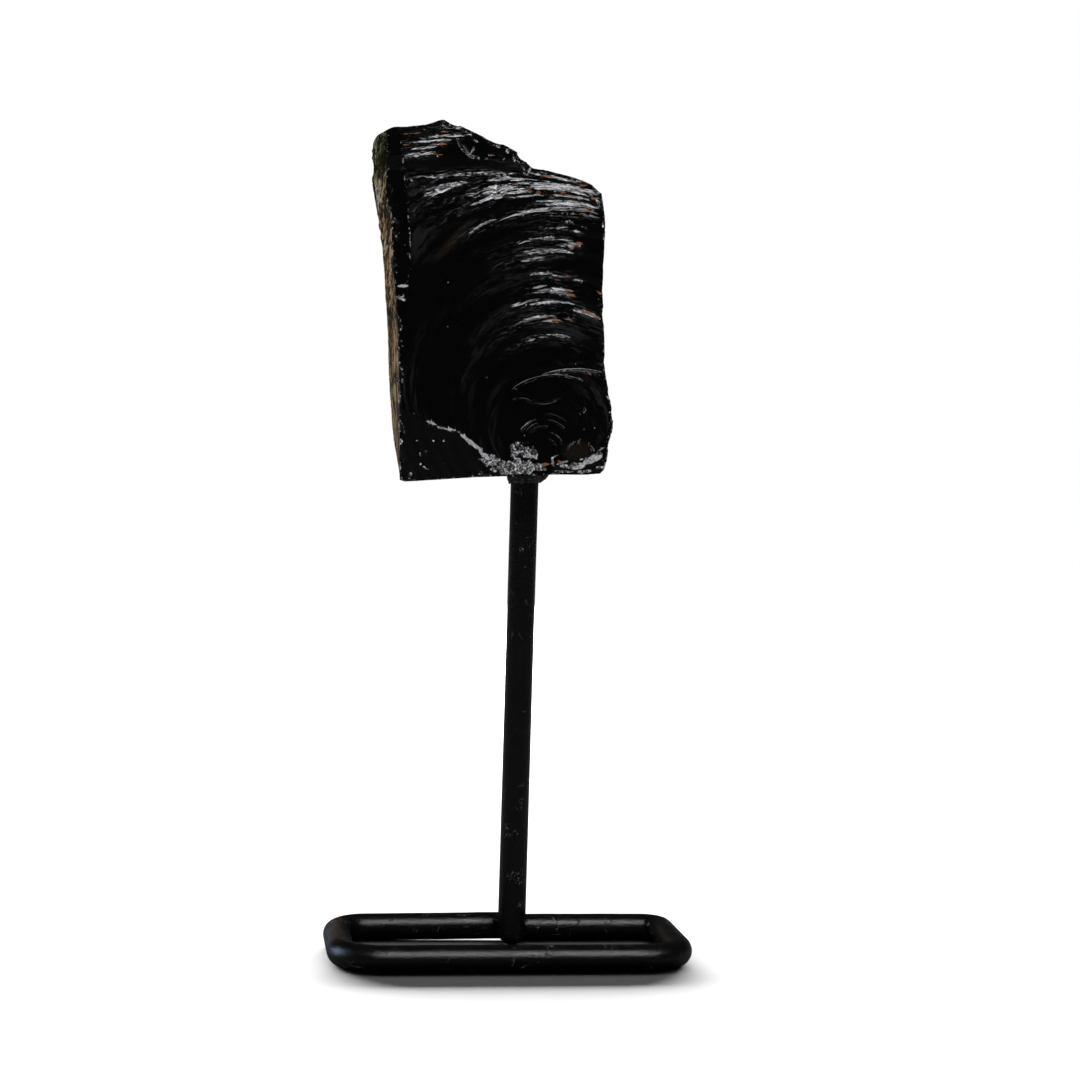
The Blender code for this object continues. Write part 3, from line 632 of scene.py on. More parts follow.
class StandSettings(bpy.types.PropertyGroup):
    """Sizes and paint of the stand."""
    loop_width: size("Loop width", "Width of the bent loop", LOOP_HIGH.x - LOOP_LOW.x)
    rod_diameter: size("Rod diameter", "Diameter of the bent rod", 6.0 * MM)
    rod_sides: IntProperty(name="Rod sides", description="Sides of the rod's section", default=40, min=8)
    rod_wander: size("Rod wander", "How unevenly the rod is bent", 0.12 * MM)
    post_diameter: size("Post diameter", "Diameter of the post", POST_HIGH.x - POST_LOW.x)
    paint: colour("Paint", "Colour of the paint", (0.0016, 0.0016, 0.0017))
    scuff: colour("Scuff", "Colour of scuffs in the paint", (0.16, 0.155, 0.15))
    paint_roughness: share("Paint roughness", "Roughness of the paint", 0.2)


class GlueSettings(bpy.types.PropertyGroup):
    """Form and colours of the glue that holds the stone."""
    lump_height: size("Lump height", "Unevenness of the glue", 0.28 * MM)
    grain_size: size("Grain size", "Size of the crumbs in the glue", 0.22 * MM)
    grain_density: FloatProperty(name="Grains per area", description="Crumbs in a square metre of glue",
                                 default=9.0e6, min=0.0)
    glue: colour("Glue", "Colour of the glue", (0.003, 0.003, 0.0025))
    grain: colour("Grain", "Colour of the crumbs in the glue", (0.10, 0.095, 0.08))
    seed: IntProperty(name="Seed", description="Changes where the crumbs fall", default=3)


class StageSettings(bpy.types.PropertyGroup):
    """Floor and lights round the object."""
    floor: colour("Floor", "Colour of the floor", (0.7, 0.7, 0.7))
    floor_radius: size("Floor radius", "Radius of the floor", 2.5)
    brightness: FloatProperty(name="Brightness", description="Scales the power of every light",
                              default=1.0, min=0.0)


# ---------------------------------------------------------------- plain helpers
def mix(a, b, f):
    """The value a share f of the way from a to b."""
    return a + (b - a) * f


def ramp(value, start, end):
    """A smooth step from 0 at start to 1 at end."""
    f = np.clip((value - start) / (end - start), 0.0, 1.0)
    return f * f * (3.0 - 2.0 * f)


def across(value, points):
    """Value of the second number of a list of pairs, read along the first."""
    return np.interp(value, [p[0] for p in points], [p[1] for p in points])


def along(points, share_of_length):
    """Points of a polyline at shares 0 to 1 of its length."""
    points = np.array(points)
    length = np.r_[0.0, np.cumsum(np.linalg.norm(np.diff(points, axis=0), axis=1))]
    at = share_of_length * length[-1]
    return np.stack([np.interp(at, length, points[:, 0]), np.interp(at, length, points[:, 1])], -1)


def link(obj):
    """Puts an object in the scene."""
    bpy.context.scene.collection.objects.link(obj)
    return obj


def mesh_object(name, verts, faces, edges=()):
    """An object of plain mesh, from places in millimetres."""
    mesh = bpy.data.meshes.new(name)
    mesh.from_pydata(np.asarray(verts) * MM, edges, faces)
    mesh.update()
    return link(bpy.data.objects.new(name, mesh))


def line_object(name, points):
    """An object of one open line through points in millimetres."""
    return mesh_object(name, points, [], [(k, k + 1) for k in range(len(points) - 1)])


def bmesh_object(name, bm):
    """An object made of a bmesh, which is then freed."""
    mesh = bpy.data.meshes.new(name)
    bm.to_mesh(mesh)
    bm.free()
    return link(bpy.data.objects.new(name, mesh))


def face_outward(mesh):
    """Turns the faces of a closed mesh so that all of them face out."""
    bm = bmesh.new()
    bm.from_mesh(mesh)
    bmesh.ops.recalc_face_normals(bm, faces=bm.faces)
    bm.to_mesh(mesh)
    bm.free()


def read_places(mesh):
    """The places of a mesh's points in millimetres."""
    places = np.empty(len(mesh.vertices) * 3)
    mesh.vertices.foreach_get("co", places)
    return places.reshape(-1, 3) / MM


def read_normals(mesh):
    """The directions that a mesh's points face."""
    normals = np.empty(len(mesh.vertices) * 3)
    mesh.vertex_normals.foreach_get("vector", normals)
    return normals.reshape(-1, 3)


def write_attribute(mesh, name, values):
    """Stores a number or a vector for each point of a mesh."""
    kind, field = ('FLOAT_VECTOR', "vector") if values.ndim == 2 else ('FLOAT', "value")
    made = mesh.attributes.get(name) or mesh.attributes.new(name, kind, 'POINT')
    made.data.foreach_set(field, values.astype(np.float32).ravel())


def settle(obj):
    """Applies an object's modifiers, so that its mesh is plain."""
    depsgraph = bpy.context.evaluated_depsgraph_get()
    mesh = bpy.data.meshes.new_from_object(obj.evaluated_get(depsgraph))
    obj.modifiers.clear()
    old = obj.data
    obj.data = mesh
    mesh.name = obj.name
    bpy.data.meshes.remove(old)


def finish_piece(obj, node, sharp_angle):
    """Shades a piece, with sharp edges where its faces turn by more than an angle, and
    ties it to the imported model."""
    obj.data.shade_smooth()
    obj.data.set_sharp_from_angle(angle=sharp_angle)
    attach(obj, BODY)
    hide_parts(node)


# ---------------------------------------------------------------- node helpers
class Signal:
    """What comes out of a node. The usual signs add maths nodes that work on it."""

    def __init__(self, socket):
        self.socket = socket
        self.tree = socket.id_data

    def __add__(self, other):
        return maths('ADD', self, other)

    def __sub__(self, other):
        return maths('SUBTRACT', self, other)

    def __rsub__(self, other):
        return maths('SUBTRACT', other, self)

    def __mul__(self, other):
        return maths('MULTIPLY', self, other)

    def __truediv__(self, other):
        return maths('DIVIDE', self, other)

    def __rtruediv__(self, other):
        return maths('DIVIDE', other, self)

    def __abs__(self):
        return maths('ABSOLUTE', self)


class Outputs:
    """The outputs of a node as signals, by name or place."""

    def __init__(self, node):
        self.node = node

    def __getitem__(self, key):
        return Signal(self.node.outputs[key])


def put(socket, value):
    """Links a signal to an input, or sets the input to a plain value."""
    if isinstance(value, Signal):
        value.tree.links.new(value.socket, socket)
    else:
        socket.default_value = value


def add(tree, kind, inputs=None, **settings):
    """A node with its settings, and its inputs set or linked by name or place."""
    made = tree.nodes.new(kind)
    for name, value in settings.items():
        setattr(made, name, value)
    for key, value in (inputs or {}).items():
        put(made.inputs[key], value)
    return Outputs(made)


def maths(operation, *values):
    """A maths node on numbers, at least one of which is a signal."""
    tree = next(value.tree for value in values if isinstance(value, Signal))
    return add(tree, "ShaderNodeMath", dict(enumerate(values)), operation=operation)[0]


def largest(first, *others):
    """The largest of some signals."""
    for other in others:
        first = maths('MAXIMUM', first, other)
    return first


def between(mask, at_none, at_full):
    """Goes from one value where a mask is 0 to another where it is 1."""
    return maths('MULTIPLY_ADD', mask, at_full - at_none, at_none)


def tilted(pattern_height, amount):
    """A pattern that lies about 0.5, made to lie about 0 and scaled."""
    return (pattern_height - 0.5) * amount


def vector_maths(operation, a, b):
    return add(a.tree, "ShaderNodeVectorMath", {0: a, 1: b}, operation=operation)[0]


def scaled(vector, factor):
    return add(vector.tree, "ShaderNodeVectorMath", {0: vector, "Scale": factor}, operation='SCALE')[0]


def step(value, low, high, to_low=0.0, to_high=1.0):
    """A smooth step of a signal from low to high, as a value from to_low to to_high."""
    return add(value.tree, "ShaderNodeMapRange", {0: value, 1: low, 2: high, 3: to_low, 4: to_high},
               interpolation_type='SMOOTHSTEP')[0]


def blend_colour(factor, a, b):
    """Goes from colour a to colour b, each a signal or three plain numbers."""
    a, b = [c if isinstance(c, Signal) else (*c, 1.0) for c in (a, b)]
    # The node's sockets for numbers have the same names, so these go by place.
    return add(factor.tree, "ShaderNodeMix", {0: factor, 6: a, 7: b}, data_type='RGBA')[2]


def noise(vector, scale, detail, roughness, seed):
    """Noise about 0.5 at a place."""
    return add(vector.tree, "ShaderNodeTexNoise",
               {"Vector": vector, "W": seed, "Scale": scale, "Detail": detail, "Roughness": roughness},
               noise_dimensions='4D')[0]


def stretched(vector, length, width, depth):
    """A place counted in lengths, widths and depths of a pattern."""
    shape = add(vector.tree, "ShaderNodeCombineXYZ", {0: 1.0 / length, 1: 1.0 / width, 2: 1.0 / depth})[0]
    return vector_maths('MULTIPLY', vector, shape)


def new_group(name, kind, inputs, outputs):
    """A node group with sockets of each kind by name."""
    tree = bpy.data.node_groups.new(name, kind)
    for way, sockets in (('INPUT', inputs), ('OUTPUT', outputs)):
        for socket_kind, names in sockets.items():
            for socket_name in names:
                tree.interface.new_socket(socket_name, in_out=way, socket_type="NodeSocket" + socket_kind)
    return tree, Outputs(tree.nodes.new("NodeGroupInput")), tree.nodes.new("NodeGroupOutput").inputs


def pattern(name, vector, **changes):
    """A pattern of the table, placed in a material by its shared group."""
    group, *values = PATTERNS[name]
    inputs = {"Vector": vector, **dict(zip(PATTERN_INPUTS[group], values)), **changes}
    return add(vector.tree, "ShaderNodeGroup", inputs, node_tree=bpy.data.node_groups[group])


def new_material(name):
    """A material, its Principled shader, and the place on the object as a signal."""
    material = bpy.data.materials.new(name)
    material.use_nodes = True
    tree = material.node_tree
    return material, tree.nodes["Principled BSDF"], add(tree, "ShaderNodeTexCoord")["Object"]


def set_surface(shader, base, roughness, height, distance, strength=1.0):
    """Gives a shader its colour, roughness and bump."""
    bump = add(shader.id_data, "ShaderNodeBump",
               {"Strength": strength, "Distance": distance, "Height": height})
    put(shader.inputs["Base Color"], base)
    put(shader.inputs["Roughness"], roughness)
    put(shader.inputs["Normal"], bump[0])


def use_nodes(obj, tree, settings, **values):
    """Runs a geometry tree on an object. An input takes the value or else the setting
    that has its name."""
    modifier = obj.modifiers.new(tree.name, 'NODES')
    modifier.node_group = tree
    for item in tree.interface.items_tree:
        if item.in_out == 'INPUT' and item.name != "Geometry":
            key = item.name.lower().replace(" ", "_")
            value = values.get(key, getattr(settings, key, item.default_value))
            modifier[item.identifier] = value
    settle(obj)


def raised(tree, geometry, height):
    """Geometry moved along its normals."""
    offset = scaled(add(tree, "GeometryNodeInputNormal")[0], height)
    return add(tree, "GeometryNodeSetPosition", {"Geometry": geometry, "Offset": offset})[0]


def close_geometry(geometry, material, sink):
    """The end of a geometry tree: instances made real and the material set."""
    real = add(geometry.tree, "GeometryNodeRealizeInstances", {0: geometry})[0]
    put(sink[0], add(geometry.tree, "GeometryNodeSetMaterial", {"Geometry": real, "Material": material})[0])


# ---------------------------------------------------------------- the stone
def fill_outline(left, right, bottom, top, s, t):
    """The Coons patch inside four edges, at shares s across and t up."""
    s = s[:, None]
    t = t[:, None]
    sides = mix(along(left, t[:, 0]), along(right, t[:, 0]), s)
    ends = mix(along(bottom, s[:, 0]), along(top, s[:, 0]), t)
    low = mix(np.array(bottom[0]), np.array(bottom[-1]), s)
    high = mix(np.array(top[0]), np.array(top[-1]), s)
    return sides + ends - mix(low, high, t)


def ring_size(x, z):
    """Radius of the ring through a point, of those that grow from the blow to the wide arc."""
    drift = (np.array(ARC_CENTRE) - np.array(BLOW)) / ARC_R
    px = x - BLOW[0]
    pz = z - BLOW[1]
    a = 1.0 - drift @ drift
    b = px * drift[0] + pz * drift[1]
    c = px * px + pz * pz
    return (np.sqrt(b * b + a * c) - b) / a


def flow(x, z):
    """A number that stays the same along each ripple: its ring's radius, and above the
    wide arc how far up it lies toward the line that closes the band, and past that line."""
    floor = ARC_CENTRE[1] + np.sqrt(np.maximum(ARC_R**2 - (x - ARC_CENTRE[0]) ** 2, 1.0))
    roof = BAND_TOP[1] - (x - BAND_TOP[0]) ** 2 / (2.0 * BAND_TOP_R)
    way = (z - floor) / (roof - floor)
    above = ARC_R + np.where(way < 1.0, way * BAND_WIDTH, BAND_WIDTH + z - roof)
    return np.where(z > floor, above, ring_size(x, z))


def bevel_edge(z):
    """X of the edge between the front and its upper left bevel, at a height."""
    return across(z, [(edge_z, edge_x) for edge_x, edge_z in STRIP_EDGE])


def front_recess(x, z):
    """How far the front lies behind its foremost plane."""
    ring = ring_size(x, z)
    recess = DISH_DEPTH * (1.0 - np.clip(ring / DISH_R, 0.0, 1.0) ** 2)
    recess += ARC_STEP * ramp(ring, ARC_R - ARC_SOFT, ARC_R + ARC_SOFT)

    strength = ramp(ring, *WAVES_RISE) * (1.0 - ramp(ring, *WAVES_FADE))
    strength = strength * (1.0 - WAVES_LEFT_LOSS * ramp(x, *WAVES_LEFT_FADE))
    turns = ring / WAVE_LENGTH + WAVE_UNEVEN * np.sin(2.0 * math.pi * ring / WAVE_UNEVEN_LENGTH)
    recess += WAVE_HEIGHT * strength * np.cos(2.0 * math.pi * turns)

    strip = np.where(z > STRIP_EDGE[0][1], bevel_edge(z) - x, 0.0)
    recess += STRIP_SLOPE * np.maximum(0.0, strip)

    bands = np.interp(z, BAND_Z, BAND_RECESS)
    slope = np.interp(z, SLOPE_Z, SLOPE_RECESS)
    recess += mix(bands, slope, ramp(x, *BANDS_TO_SLOPE))

    recess += FACET_SLOPE * np.maximum(0.0, across(x, RIDGE) - z)

    from_bulb = np.hypot(x - BULB_CENTRE[0], z - BULB_CENTRE[1])
    return recess - BULB_STEP * (1.0 - ramp(from_bulb, BULB_R - BULB_SOFT, BULB_R + BULB_SOFT))


def back_depth(x):
    """Y of the back, which comes forward toward the right."""
    return BACK_Y - BACK_FALL_RIGHT * ramp(x, *BACK_FALL_X)


def underside_z(x):
    """Height of the stone's underside at X, which rises a little to the right."""
    depth = (POST_CENTRE.y / MM - FACE_Y) / (BACK_Y - FACE_Y)
    return mix(across(x, FRONT_BOTTOM), across(x, BACK_BOTTOM), depth)


def cut_scar(points, centre, normal, depth, radius, struck_from):
    """Pushes what stands outside a shallow waved bowl back onto the bowl."""
    centre = np.array(centre)
    near = np.flatnonzero((np.abs(points - centre) < radius * SCAR_NEAR).all(axis=1))
    normal = np.array(normal) / np.linalg.norm(normal)
    offset = points[near] - centre
    height = offset @ normal
    flat = offset - height[:, None] * normal
    reach = np.linalg.norm(flat, axis=1) / radius
    travel = np.linalg.norm(flat / radius - np.array(struck_from), axis=1)
    waves = SCAR_WAVE_SHARE * depth * np.cos(2.0 * math.pi * SCAR_WAVES * travel)
    bowl = depth * (reach**2 - 1.0) + waves
    excess = np.where(reach < SCAR_REACH, np.maximum(0.0, height - bowl), 0.0)
    points[near] -= excess[:, None] * normal
    return points


def cube_shell(steps):
    """Corners, from 0 to 1, and quads of a cube's surface that is cut into steps."""
    steps = np.array(steps)
    quads = []
    for axis in range(3):
        u = (axis + 1) % 3
        v = (axis + 2) % 3
        grid = np.stack(np.meshgrid(np.arange(steps[u]), np.arange(steps[v]), indexing="ij"), -1)
        grid = grid.reshape(-1, 2)
        for end in (0, steps[axis]):
            corners = np.zeros((len(grid), 4, 3), int)
            corners[..., axis] = end
            way_round = [(0, 0), (1, 0), (1, 1), (0, 1)] if end else [(0, 0), (0, 1), (1, 1), (1, 0)]
            for corner, (du, dv) in enumerate(way_round):
                corners[:, corner, u] = grid[:, 0] + du
                corners[:, corner, v] = grid[:, 1] + dv
            quads.append(corners)
    quads = np.concatenate(quads)
    rows = steps[0] + 1
    layers = rows * (steps[1] + 1)
    keys, index = np.unique(quads @ np.array([1, rows, layers]), return_inverse=True)
    corners = np.stack([keys % rows, keys // rows % (steps[1] + 1), keys // layers], -1)
    return corners / steps, index.reshape(-1, 4)


def lay_out_stone(cube):
    """Places on the stone for the points of a cube with sides from 0 to 1."""
    s, w, t = cube.T
    w = w**FRONT_CROWDING
    front = fill_outline(FRONT_LEFT, FRONT_RIGHT, FRONT_BOTTOM, FRONT_TOP, s, t)
    back = fill_outline(BACK_LEFT, BACK_RIGHT, BACK_BOTTOM, BACK_TOP, s, t)
    front_y = FACE_Y + front_recess(front[:, 0], front[:, 1])
    flat = mix(front, back, w[:, None])
    swell = LEFT_SWELL * np.sin(math.pi * w) * ramp(1.0 - s, *LEFT_SWELL_ACROSS)
    swell = swell * ramp(flat[:, 1], *LEFT_SWELL_Z)
    flat = flat + swell[:, None] * np.array(LEFT_SWELL_WAY)
    depth = mix(front_y, back_depth(back[:, 0]), w)
    points = np.stack([flat[:, 0], depth, flat[:, 1]], -1)
    for _, *scar in SCARS:
        points = cut_scar(points, *scar)
    return points


def ridge_chips(cube, points, count, seed):
    """Small flakes broken out along the ridges, where the cube's sides meet."""
    rng = np.random.default_rng(seed)
    at_end = (cube == 0.0) | (cube == 1.0)
    ridge = np.flatnonzero(at_end.sum(axis=1) >= 2)
    middle = points.mean(axis=0)
    for pick in rng.choice(ridge, count, replace=False):
        centre = points[pick].copy()
        sides = np.where(at_end[pick], np.where(cube[pick] > 0.5, 1.0, -1.0), 0.0)
        outward = sides + CHIP_TURN * rng.standard_normal(3)
        outward[2] += CHIP_RISE * np.sign(centre[2] - middle[2])
        radius = rng.uniform(*CHIP_R) ** CHIP_R_POWER
        centre += CHIP_SHIFT * outward / np.linalg.norm(outward) * radius * CHIP_DEPTH
        points = cut_scar(points, centre, outward, CHIP_DEPTH * radius, radius, rng.standard_normal(3))
    return points


def streak_mask(x, z, spill_left, spill_right, spill_across):
    """How near a point is to the flaky streaks, each a lens along its ripple."""
    here = flow(x, z)
    mask = np.zeros_like(x)
    for start, end, height, half_width in STREAKS:
        middle = (start + end) / 2.0
        there = flow(np.array([middle]), np.array([height]))[0]
        reach = (end - start) / 2.0 + np.where(x < middle, spill_left, spill_right)
        way = (x - middle) / reach
        inside = np.maximum(0.0, 1.0 - way**2)
        taper = np.where(x < middle, inside, np.sqrt(inside))
        off = np.abs(here - there) / (half_width + spill_across)
        mask = np.maximum(mask, taper * (1.0 - ramp(off, *MARK_FADE)))
    return mask


def line_marks(x, z):
    """Distance across the nearest crisp arc in metres, and how bright the arc is there."""
    distance = np.full_like(x, LINE_REACH)
    strength = np.zeros_like(x)
    for centre, radius, start, end, brightness in ARCS:
        dx = x - centre[0]
        dz = z - centre[1]
        angle = np.degrees(np.arctan2(dz, dx)) % 360.0
        way = (angle - (start + end) / 2.0) / ((end - start) / 2.0)
        across_line = np.hypot(dx, dz) - radius
        nearer = (np.abs(across_line) < np.abs(distance)) & (np.abs(way) < 1.0)
        distance = np.where(nearer, across_line, distance)
        taper = np.sqrt(np.maximum(0.0, 1.0 - way**2))
        strength = np.where(nearer, brightness * taper, strength)
    strength *= 1.0 - ramp(np.abs(distance), LINE_FADE, LINE_REACH)
    return distance * MM, strength


def patch_mask(x, z, patches):
    """How far a point lies inside slanted ovals: 1 in the middle, 0 outside."""
    mask = np.zeros_like(x)
    for centre_x, centre_z, half_length, half_width, *slant in patches:
        angle = math.radians(sum(slant))
        dx = x - centre_x
        dz = z - centre_z
        u = (dx * math.cos(angle) + dz * math.sin(angle)) / half_length
        v = (dz * math.cos(angle) - dx * math.sin(angle)) / half_width
        mask = np.maximum(mask, 1.0 - ramp(np.hypot(u, v), *PATCH_FADE))
    return mask


def grain_directions(points, normals):
    """Places along and across the ripples, in metres, for patterns that follow them."""
    x, y, z = points.T
    side = np.abs(normals).argmax(axis=1)
    is_front = (side == 1) & (normals[:, 1] < 0.0)
    is_back = (side == 1) & ~is_front
    is_flank = side == 0
    turn = np.arctan2(x - BLOW[0], z - BLOW[1] + ARC_DRIFT)
    along_front = np.where(flow(x, z) > ARC_R, x, turn * TURN_LENGTH)
    from_strike = np.hypot(x - BACK_STRUCK[0], z - BACK_STRUCK[1])
    back_turn = np.arctan2(x - BACK_STRUCK[0], z - BACK_STRUCK[1])
    u = np.select([is_front, is_back, is_flank], [along_front, back_turn * ARC_R, y], x)
    v = np.select([is_front, is_back, is_flank], [flow(x, z), from_strike, z + FLANK_SLANT * y],
                  y + TOP_SLANT * x)
    return np.stack([u, v, side * SIDE_APART], -1) * MM


def write_marks(mesh):
    """Stores where each mark lies on the stone, for its material and relief."""
    points = read_places(mesh)
    normals = read_normals(mesh)
    x, _, z = points.T
    front = ramp(-normals[:, 1], *FACES_FRONT)
    past_edges = np.where(z > STRIP_EDGE[0][1], ramp(x - bevel_edge(z), *BEVEL_FADE),
                          ramp(z - across(x, RIDGE), *FACET_FADE))
    distance, strength = line_marks(x, z)
    # Streaks, halo, lines and bevels tell the material where to paint highlights and reflections.
    for name, values in {
        "grain": grain_directions(points, normals),
        "front": front,
        "rippled": front * past_edges * ramp(ring_size(x, z), *WAVES_RISE),
        "left side": ramp(-normals[:, 0], *FACES_LEFT),
        "streaks": streak_mask(x, z, *STREAK_SPILL) * front * past_edges,
        "halo": streak_mask(x, z, *HALO_SPILL) * front * past_edges,
        "line distance": distance,
        "lines": strength * front,
        "crushed": patch_mask(x, z, CRUSHED) * front,
        "bevels": patch_mask(x, z, BEVELS) * front,
        "rust": patch_mask(x, z, REDDISH_SPECKS) * front,
        "smoky": patch_mask(x, z, BROWN_OVALS) * front,
    }.items():
        write_attribute(mesh, name, values)


def write_wear(mesh):
    """Stores how close each point of the stone is to a sharp ridge or the bevel's edge."""
    bm = bmesh.new()
    bm.from_mesh(mesh)
    sharp = [e for e in bm.edges if e.is_manifold and e.calc_face_angle() > WEAR_ANGLE]
    tree = KDTree(len(sharp))
    for index, edge in enumerate(sharp):
        tree.insert((edge.verts[0].co + edge.verts[1].co) / 2.0, index)
    tree.balance()
    near = np.array([tree.find(v.co)[2] for v in bm.verts]) / MM
    bm.free()
    x, _, z = read_places(mesh).T
    on_edge = (z > STRIP_EDGE[0][1]) & (read_normals(mesh)[:, 1] < -FACES_FRONT[0])
    edge = EDGE_WEAR * (1.0 - ramp(np.abs(x - bevel_edge(z)), 0.0, EDGE_REACH))
    ridge = 1.0 - ramp(near, 0.0, WEAR_REACH)
    # The material paints glints on this wear.
    write_attribute(mesh, "wear", np.maximum(np.where(on_edge, edge, 0.0), ridge))


def relief_tree():
    """Relief that follows the ripples: flakes in the streaks, crumbs in the crushed
    places, fine ripples on the front, long grooves down the left side and rough ridges."""
    tree, given, sink = new_group("conchoidal relief", 'GeometryNodeTree', {
        "Geometry": ["Geometry"],
        "Float": ["Hackle height", "Hackle length", "Hackle spacing", "Crumb height", "Crumb size",
                  "Ripple height", "Ripple spacing", "Groove length", "Groove spacing"],
        "Int": ["Seed"],
        "Material": ["Material"],
    }, {"Geometry": ["Geometry"]})

    def stored(name, kind='FLOAT'):
        return add(tree, "GeometryNodeInputNamedAttribute", {"Name": name}, data_type=kind)[0]

    grain = stored("grain", 'FLOAT_VECTOR')
    place = add(tree, "GeometryNodeInputPosition")[0]
    seed = given["Seed"]

    along_grain = stretched(grain, given["Hackle length"], given["Hackle spacing"], MM)
    flakes = noise(along_grain, 1.0, *RELIEF_NOISE, seed)
    crest = maths('MULTIPLY_ADD', abs(flakes - 0.5), HACKLE_SLOPE, HACKLE_CREST)
    hackles = crest * given["Hackle height"] * stored("streaks")

    cells = add(tree, "ShaderNodeTexVoronoi",
                {"Vector": place, "Scale": 1.0 / given["Crumb size"]}, feature='F1')["Distance"]
    broken = noise(place, CRUMB_BREAKS / given["Crumb size"], *RELIEF_NOISE, seed)
    crumb = broken * CRUMB_HEIGHTS - (cells + CRUMB_LEVEL)
    crumbs = crumb * given["Crumb height"] * stored("crushed")

    ring = add(tree, "ShaderNodeSeparateXYZ", {0: grain})[1]
    patches = noise(grain, *RIPPLE_PATCHES, seed)
    turns = ring / given["Ripple spacing"] + patches
    strength = given["Ripple height"] * step(patches, *RIPPLE_EDGE)
    ripples = maths('SINE', turns * (2.0 * math.pi)) * strength

    down_side = stretched(grain, given["Groove length"], given["Groove spacing"], MM)
    grooves = tilted(noise(down_side, 1.0, *RELIEF_NOISE, seed), GROOVE_HEIGHT) * stored("left side")
    rough = (noise(place, *WORN_SCALE, seed) - WORN_LEVEL) * WORN_HEIGHT * stored("wear")

    height = hackles + crumbs + ripples + grooves + rough
    close_geometry(raised(tree, given["Geometry"], height), given["Material"], sink)
    return tree


def post_drill():
    """The drill that makes the blind hole for the post."""
    centre = POST_CENTRE / MM
    floor_z = underside_z(centre.x) + HOLE_DEPTH
    start_z = underside_z(centre.x) - DRILL_LEAD
    radius = POST_R + HOLE_CLEARANCE
    bm = bmesh.new()
    bmesh.ops.create_cone(bm, cap_ends=True, segments=POST_SIDES, radius1=radius, radius2=radius,
                          depth=floor_z - start_z,
                          matrix=Matrix.Translation((centre.x, centre.y, (floor_z + start_z) / 2.0)))
    bmesh.ops.scale(bm, vec=(MM, MM, MM), verts=bm.verts)
    return bmesh_object("post_drill", bm)


def make_stone(settings):
    cube, quads = cube_shell(STONE_STEPS)
    points = ridge_chips(cube, lay_out_stone(cube), settings.chip_count, settings.seed)
    stone = mesh_object("obsidian_block", points, quads)
    write_marks(stone.data)
    write_wear(stone.data)
    material = obsidian_material(settings)
    use_nodes(stone, relief_tree(), settings, groove_length=GROOVE_LENGTH,
              groove_spacing=GROOVE_SPACING, material=material)
    thin = stone.modifiers.new("fewer faces", 'DECIMATE')
    thin.ratio = STONE_KEEP
    drill = post_drill()
    hole = stone.modifiers.new("post hole", 'BOOLEAN')
    hole.object = drill
    hole.solver = 'EXACT'
    settle(stone)
    bpy.data.objects.remove(drill)
    write_marks(stone.data)
    write_wear(stone.data)
    stone.data.materials.clear()
    stone.data.materials.append(material)
    finish_piece(stone, "obsidian_chunk", STONE_SHARP)


# ---------------------------------------------------------------- materials
def make_shared_effects():
    """Node groups that more than one material uses."""
    tree, given, sink = new_group("specks", 'ShaderNodeTree', {
        "Vector": ["Vector"], "Float": PATTERN_INPUTS["specks"]}, {"Float": ["Mask"]})
    cells = add(tree, "ShaderNodeTexVoronoi",
                {"Vector": given["Vector"], "Scale": 1.0 / given["Spacing"]}, feature='F1')
    chance = add(tree, "ShaderNodeSeparateColor", {0: cells["Color"]})[0]
    kept = maths('LESS_THAN', chance, given["Share"])
    put(sink["Mask"], step(given["Size"] - cells["Distance"], 0.0, SPECK_SOFTNESS) * kept)

    tree, given, sink = new_group("strands", 'ShaderNodeTree', {
        "Vector": ["Vector"], "Float": PATTERN_INPUTS["strands"]}, {"Float": ["Mask", "Lines", "Height"]})
    place = stretched(given["Vector"], given["Length"], given["Width"], given["Width"])
    height = noise(place, 1.0, *STRAND_NOISE, given["Seed"])
    put(sink["Mask"], step(height, given["Low"], given["High"]))
    put(sink["Lines"], 1.0 - step(abs(height - 0.5), 0.0, given["Line width"]))
    put(sink["Height"], height)

    tree, given, sink = new_group("veins", 'ShaderNodeTree', {
        "Vector": ["Vector"], "Float": PATTERN_INPUTS["veins"]}, {"Float": ["Mask"]})
    folds = noise(given["Vector"], 1.0 / given["Spacing"], *VEIN_NOISE, given["Seed"])
    put(sink["Mask"], 1.0 - step(abs(folds - 0.5), 0.0, given["Width"]))


class Glass:
    """Places, stored marks and patterns that the parts of the glass share."""

    def __init__(self, place):
        self.tree = place.tree
        self.place = place
        self.from_left, self.depth_back, self.height_up = add(self.tree, "ShaderNodeSeparateXYZ", {0: place})
        self.front = self.stored("front")
        self.straight = self.stored("grain", "Vector")
        drift = add(self.tree, "ShaderNodeTexNoise", {"Vector": place, "Scale": DRIFT_SCALE, "Detail": 1.0})
        self.drift = vector_maths('SUBTRACT', drift["Color"], (0.5, 0.5, 0.5))
        grain = vector_maths('ADD', self.straight, scaled(self.drift, GRAIN_DRIFT))
        self.flakes = pattern("flakes", grain)
        self.hairs = pattern("hairs", grain)["Lines"]
        self.cracks = pattern("cracks", grain)["Lines"]
        self.fibres = pattern("fibres", grain)
        self.threads = pattern("silver threads", place)["Mask"]
        self.ragged = (tilted(self.flakes["Height"], RAGGED_BY_FLAKES)
                       + tilted(self.fibres["Height"], RAGGED_BY_FIBRES))
        self.patches = noise(vector_maths('MULTIPLY', self.straight, PATCH_STRETCH), *PATCHES)
        self.crumbs = noise(place, *CRUMBS)
        # Clusters of painted flake highlights off the front.
        clusters = step(self.patches, *CLUSTERS) * ((1.0 - self.front) * CLUSTER_SHARE)
        self.flaky = largest(self.stored("streaks"), clusters)

    def stored(self, name, output="Fac"):
        """A mark that is stored on the stone."""
        return add(self.tree, "ShaderNodeAttribute", attribute_name=name)[output]


